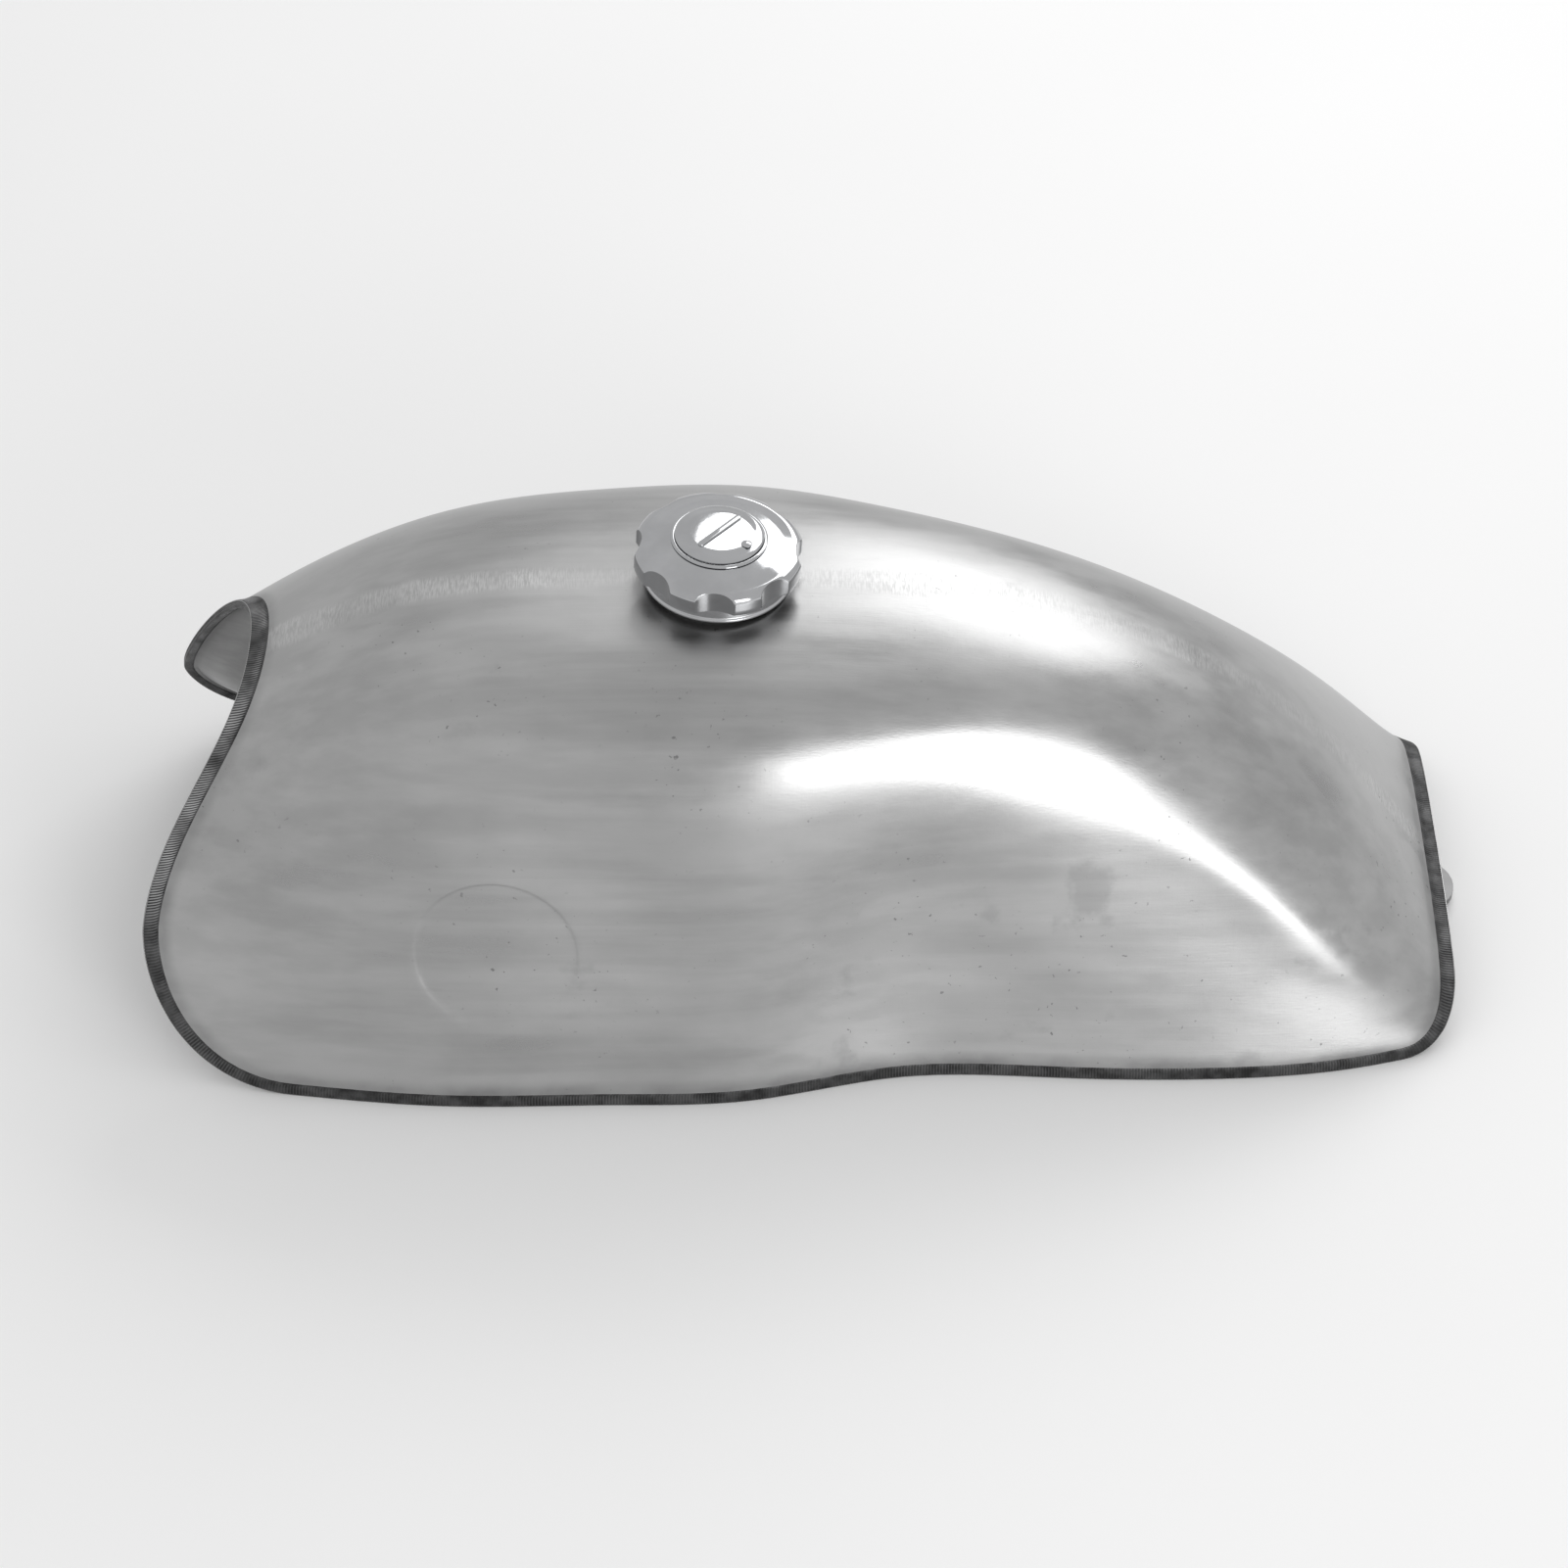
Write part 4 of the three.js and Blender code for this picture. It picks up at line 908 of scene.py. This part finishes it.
GRIP_R = 32.5
GRIP_BOTTOM = 8.0
GRIP_WALL = 1.2
GRIP_HOLLOW_R = 30.7
DOME_TOP = 19.4
SCALLOPS = 8
SCALLOP_DEPTH = 3.2
SCALLOP_HALF = math.radians(13)
SCALLOP_START = math.radians(268)
SKIRT_R = 28.0
SKIRT_BOTTOM = 1.6
SKIRT_TOP = 11.1
HOUSING_R = 11.0
COVER_R = 17.0
COVER_BOTTOM = 20.5
COVER_TOP = 22.7
RIB_ANGLE = math.radians(50)
RIVET_AT = (12.4, math.radians(-34))
BEZEL_BORE_R = 15.8
BEZEL_NECK_R = 16.8
BEZEL_LIP_R = 18.6
BEZEL_BOTTOM = 14

# Rings under the grip: inner and outer radius, bottom and top.
GASKET = (21, 27, 4.3, 6.3)
CARRIER = (11.4, 26.9, 6.6, 7.6)
WAVE_SPRING = (17, 23, 8.65, 9.25)
WAVES = 3
WAVE_RISE = 0.6


def cap_piece(name, node, material, body, mesh, crease=None):
    """A piece of the cap in place of a CAD node; edges sharper than the crease stay crisp."""
    points, faces = mesh
    piece = new_piece(name, placed(points), faces, body, material)
    if crease:
        sharpen(piece, crease)
    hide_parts(node)
    return piece


def scallop(angles):
    """Depth of the finger scallops round the grip, 0 to 1."""
    pitch = 2 * math.pi / SCALLOPS
    offset = np.mod(angles - SCALLOP_START + pitch / 2, pitch) - pitch / 2
    share = np.clip(np.abs(offset) / SCALLOP_HALF, 0, 1)
    return (1 - share ** 2) ** 0.8


def no_more_than(value, limit, soft):
    """The lower of two arrays, with the corner between them rounded."""
    return limit - soft * np.logaddexp(0, (limit - value) / soft)


def dome_height(r):
    """Height of the grip's outer surface over its bottom edge."""
    fall = np.interp(r, [17.0, 18.0, 24.0, 28.5], [0, 0, 1.1, 2.5])
    edge_r, edge_fall = 4.0, 3.5
    over = np.clip((r - (GRIP_R - edge_r)) / edge_r, 0, 1)
    return DOME_TOP - GRIP_BOTTOM - fall - edge_fall * (1 - np.sqrt(1 - over ** 2))


def grip_mesh():
    """Domed grip with the finger scallops bitten out of its rim."""
    rise = DOME_TOP - GRIP_BOTTOM
    spread = [17.0, 18.0, *np.arange(19.0, 27.0, 1.0), *np.arange(27.0, GRIP_R - 0.4, 0.28)]
    spread += [GRIP_R - share for share in (0.35, 0.2, 0.1, 0.03, 0)]
    outer = [(r, float(dome_height(r))) for r in spread]
    outer += [(GRIP_R, z) for z in (4.5, 2.5, 0.6)] + [(GRIP_R - 0.25, 0.1), (GRIP_R - 0.7, 0)]
    hollow = [(GRIP_HOLLOW_R, 0.15), (GRIP_HOLLOW_R, rise - 6.4), (30, rise - 5.6), (27.5, rise - 4.2),
              (23.5, rise - 2.9), (17.0, rise - 1.7)]
    profile = [(r, z + GRIP_BOTTOM) for r, z in outer + hollow]

    def bitten(radius, angles, height):
        is_hollow = (radius <= GRIP_HOLLOW_R) & (height - GRIP_BOTTOM < dome_height(radius) - 0.5 * GRIP_WALL)
        bite = scallop(angles)
        limit = GRIP_R - SCALLOP_DEPTH * bite - np.where(is_hollow, GRIP_WALL, 0)
        return no_more_than(radius, limit, 0.02 + 0.2 * np.minimum(1, 4 * bite)), height

    return lathe(profile, 8 * 48, bitten)


def skirt_mesh():
    """Cup below the grip, with a bead round its mouth and a bore for the lock housing."""
    wall = 0.8
    bead_r = SKIRT_R + 0.7
    bore_r = HOUSING_R + 0.4
    profile = [
        (bead_r, SKIRT_BOTTOM), (bead_r, SKIRT_BOTTOM + 0.9), (SKIRT_R, SKIRT_BOTTOM + 1.5),
        (SKIRT_R, SKIRT_TOP - 0.1), (bore_r, SKIRT_TOP), (bore_r, SKIRT_TOP - wall),
        (SKIRT_R - wall, SKIRT_TOP - wall), (SKIRT_R - wall, SKIRT_BOTTOM),
    ]
    return lathe(rounded(profile, 0.3, 3), 192)


def bezel_mesh():
    """Ring set in the grip's opening, with a rounded lip on the dome."""
    lip = DOME_TOP + 0.15
    profile = [
        (BEZEL_BORE_R, BEZEL_BOTTOM), (BEZEL_NECK_R, BEZEL_BOTTOM), (BEZEL_NECK_R, lip),
        (BEZEL_LIP_R, lip), (BEZEL_LIP_R - 0.1, lip + 0.55), (BEZEL_LIP_R - 1, lip + 0.95),
        (BEZEL_BORE_R, lip + 0.5),
    ]
    return lathe(rounded(profile, 0.25, 3), 160)


def cover_mesh():
    """Dished disc with a rolled rim; the finger rib is raised out of its top."""
    outer = [(0, COVER_TOP), (6, COVER_TOP), (11, COVER_TOP - 0.05), (13.2, COVER_TOP - 0.25),
             (14.0, COVER_TOP - 0.75), (15.6, COVER_TOP - 0.85), (16.5, COVER_TOP - 1.1),
             (COVER_R, COVER_BOTTOM + 0.5), (COVER_R - 0.1, COVER_BOTTOM + 0.05)]
    inner = [(COVER_R - 0.9, COVER_BOTTOM), (15.2, COVER_TOP - 1.7), (13.2, COVER_TOP - 1.2),
             (6, COVER_TOP - 0.9), (0, COVER_TOP - 0.9)]
    return lathe(outer + inner, 160)


def rib_mesh():
    """Finger rib of the key cover: a low bar with round ends."""
    half, radius, base, top = 10.6, 1.25, COVER_TOP - 0.4, COVER_TOP + 0.75
    ring = []
    for end in (0, 1):
        for step in range(13):
            angle = -math.pi / 2 + end * math.pi + step * math.pi / 12
            ring.append((half * (1 - 2 * end) + radius * math.cos(angle), radius * math.sin(angle)))
    ring = np.array(ring)
    levels = [(1.0, base), (1.0, top - 0.35), (0.9, top - 0.12), (0.72, top)]
    rows = []
    for share, z in levels:
        centre = np.clip(ring[:, 0], -half, half)
        flat = np.stack([centre + (ring[:, 0] - centre) * share, ring[:, 1] * share], 1)
        rows.append(np.hstack([flat, np.full((len(ring), 1), z)]))
    grid = np.array(rows)
    turn = np.array(Matrix.Rotation(RIB_ANGLE, 3, "Z"))
    points = grid.reshape(-1, 3) @ turn.T
    count = len(ring)
    index = np.arange(len(points)).reshape(len(levels), count)
    index = np.hstack([index, index[:, :1]])
    faces = quads(index)
    faces += [index[0, count - 1::-1].tolist(), index[-1, :count].tolist()]
    return points, faces


def at_rivet(mesh):
    """Moves a mesh from the cap's axis to the cover's rivet."""
    points, faces = mesh
    radius, angle = RIVET_AT
    return points + np.array([radius * math.cos(angle), radius * math.sin(angle), 0]), faces


def rivet_mesh():
    """Rivet of the key cover: shank, the collar that it turns on, and a domed head."""
    head = COVER_TOP + 0.1
    shank_r, collar_r = 1.2, 2.4
    foot, collar_bottom, collar_top = 15.2, 17.1, 18.8
    profile = [(0, foot), (shank_r, foot), (shank_r, collar_bottom), (collar_r, collar_bottom),
               (collar_r, collar_top), (shank_r, collar_top), (shank_r, head - 0.2), (2.1, head - 0.15),
               (2.05, head + 0.1), (1.6, head + 0.4), (0.8, head + 0.6), (0, head + 0.65)]
    return at_rivet(lathe(profile, 40))


def ring_mesh(inner, outer, bottom, top, edge=0.2, segments=128, change=None):
    profile = [(inner, bottom), (outer, bottom), (outer, top), (inner, top)]
    return lathe(rounded(profile, edge, 3), segments, change)


def wavy(radius, angles, height):
    return radius, height + WAVE_RISE * np.cos(WAVES * angles)


cap_piece("scalloped_grip", "cap_grip", chrome, "cap", grip_mesh(), 45)
cap_piece("chromed_skirt", "cap_skirt", satin, "cap", skirt_mesh(), 50)
cap_piece("bezel_ring", "cap_bezel", chrome, "cap", bezel_mesh(), 50)
cap_piece("cover_disc", "key_cover", chrome, "cover", cover_mesh(), 50)
cap_piece("cover_rib", "key_cover", chrome, "cover", rib_mesh(), 60)
cap_piece("rivet", "cover_rivet", chrome, "cap", rivet_mesh(), 40)
cap_piece("seal_ring", "cap_gasket", rubber, "gasket_plate", ring_mesh(*GASKET, 0.3))
cap_piece("seal_plate", "gasket_carrier", zinc, "gasket_plate", ring_mesh(*CARRIER), 50)
cap_piece("waved_spring", "wave_spring", spring, "cap",
          ring_mesh(*WAVE_SPRING, 0.15, 160, wavy), 50)


# ---------------------------------------------------------------- fittings kept from the CAD model

def finish_node(name, material):
    """Gives a CAD node its material."""
    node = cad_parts[name]
    node.data.materials.clear()
    node.data.materials.append(material)


for node_name, look in (
    ("filler_neck", pan_steel), ("right_mount_cup", pan_steel), ("left_mount_cup", pan_steel),
    ("rear_mount_tongue", pan_steel), ("petcock_bung", zinc), ("lock_housing", cast),
    ("latch_plate", zinc), ("cap_screw_1", zinc), ("cap_screw_2", zinc), ("cap_screw_3", zinc),
    ("cover_spring", spring), ("lock_barrel", brass), ("lock_crank", zinc), ("lock_bolt", zinc),
):
    finish_node(node_name, look)


# ---------------------------------------------------------------- floor, light and camera

def stage_floor():
    """Plain pale floor, wide enough to fill the picture."""
    mesh = bpy.data.meshes.new("floor")
    reach = 6.0
    corners = [(-reach, -reach, 0), (reach, -reach, 0), (reach, reach, 0), (-reach, reach, 0)]
    mesh.from_pydata(corners, [], [(0, 1, 2, 3)])
    floor = bpy.data.objects.new("floor", mesh)
    bpy.context.scene.collection.objects.link(floor)
    n = Nodes("pale_floor")
    tone = n.ramp(n.noise(2, 2), 0.3, 0.7, 0.88, 0.90)
    base = n.add("CombineColor")
    for channel in base.inputs:
        n.join(tone, channel)
    n.finish(base.outputs[0], 0.6, metallic=0.0)
    floor.data.materials.append(n.material)


def softbox(name, at, towards, size, watts):
    """Rectangular lamp at a place, turned towards a point."""
    light = bpy.data.lights.new(name, "AREA")
    light.shape = "RECTANGLE"
    light.size, light.size_y = size
    light.energy = watts
    lamp = bpy.data.objects.new(name, light)
    lamp.location = at
    lamp.rotation_euler = (Vector(towards) - Vector(at)).to_track_quat("-Z", "Y").to_euler()
    bpy.context.scene.collection.objects.link(lamp)


def studio():
    """Even pale surroundings, a tall softbox low on the right of the camera and a long one behind."""
    world = bpy.data.worlds.new("studio")
    bpy.context.scene.world = world
    world.use_nodes = True
    background = world.node_tree.nodes["Background"]
    background.inputs["Color"].default_value = (1, 1, 1, 1)
    background.inputs["Strength"].default_value = 0.75
    middle = (0, 0, 0.1)
    softbox("front_light", (0.90, -1.70, 0.66), middle, (0.8, 1.0), 11)
    softbox("back_light", (0.66, 1.30, 1.30), middle, (1.4, 0.8), 10)
    bpy.context.scene.view_settings.view_transform = "Standard"


def camera():
    """The photo's camera: square to the left side, looking down."""
    target = Vector((-0.0125, 0.0, 0.0611))
    elevation = math.radians(43)
    distance = 1.7
    data = bpy.data.cameras.new("camera")
    data.sensor_width = 36
    data.lens = 97.97
    data.clip_start = 0.01
    eye = bpy.data.objects.new("camera", data)
    back = Vector((0, -math.cos(elevation), math.sin(elevation)))
    eye.location = target + back * distance
    eye.rotation_euler = (-back).to_track_quat("-Z", "Y").to_euler()
    bpy.context.scene.collection.objects.link(eye)
    bpy.context.scene.camera = eye


stage_floor()
studio()
camera()
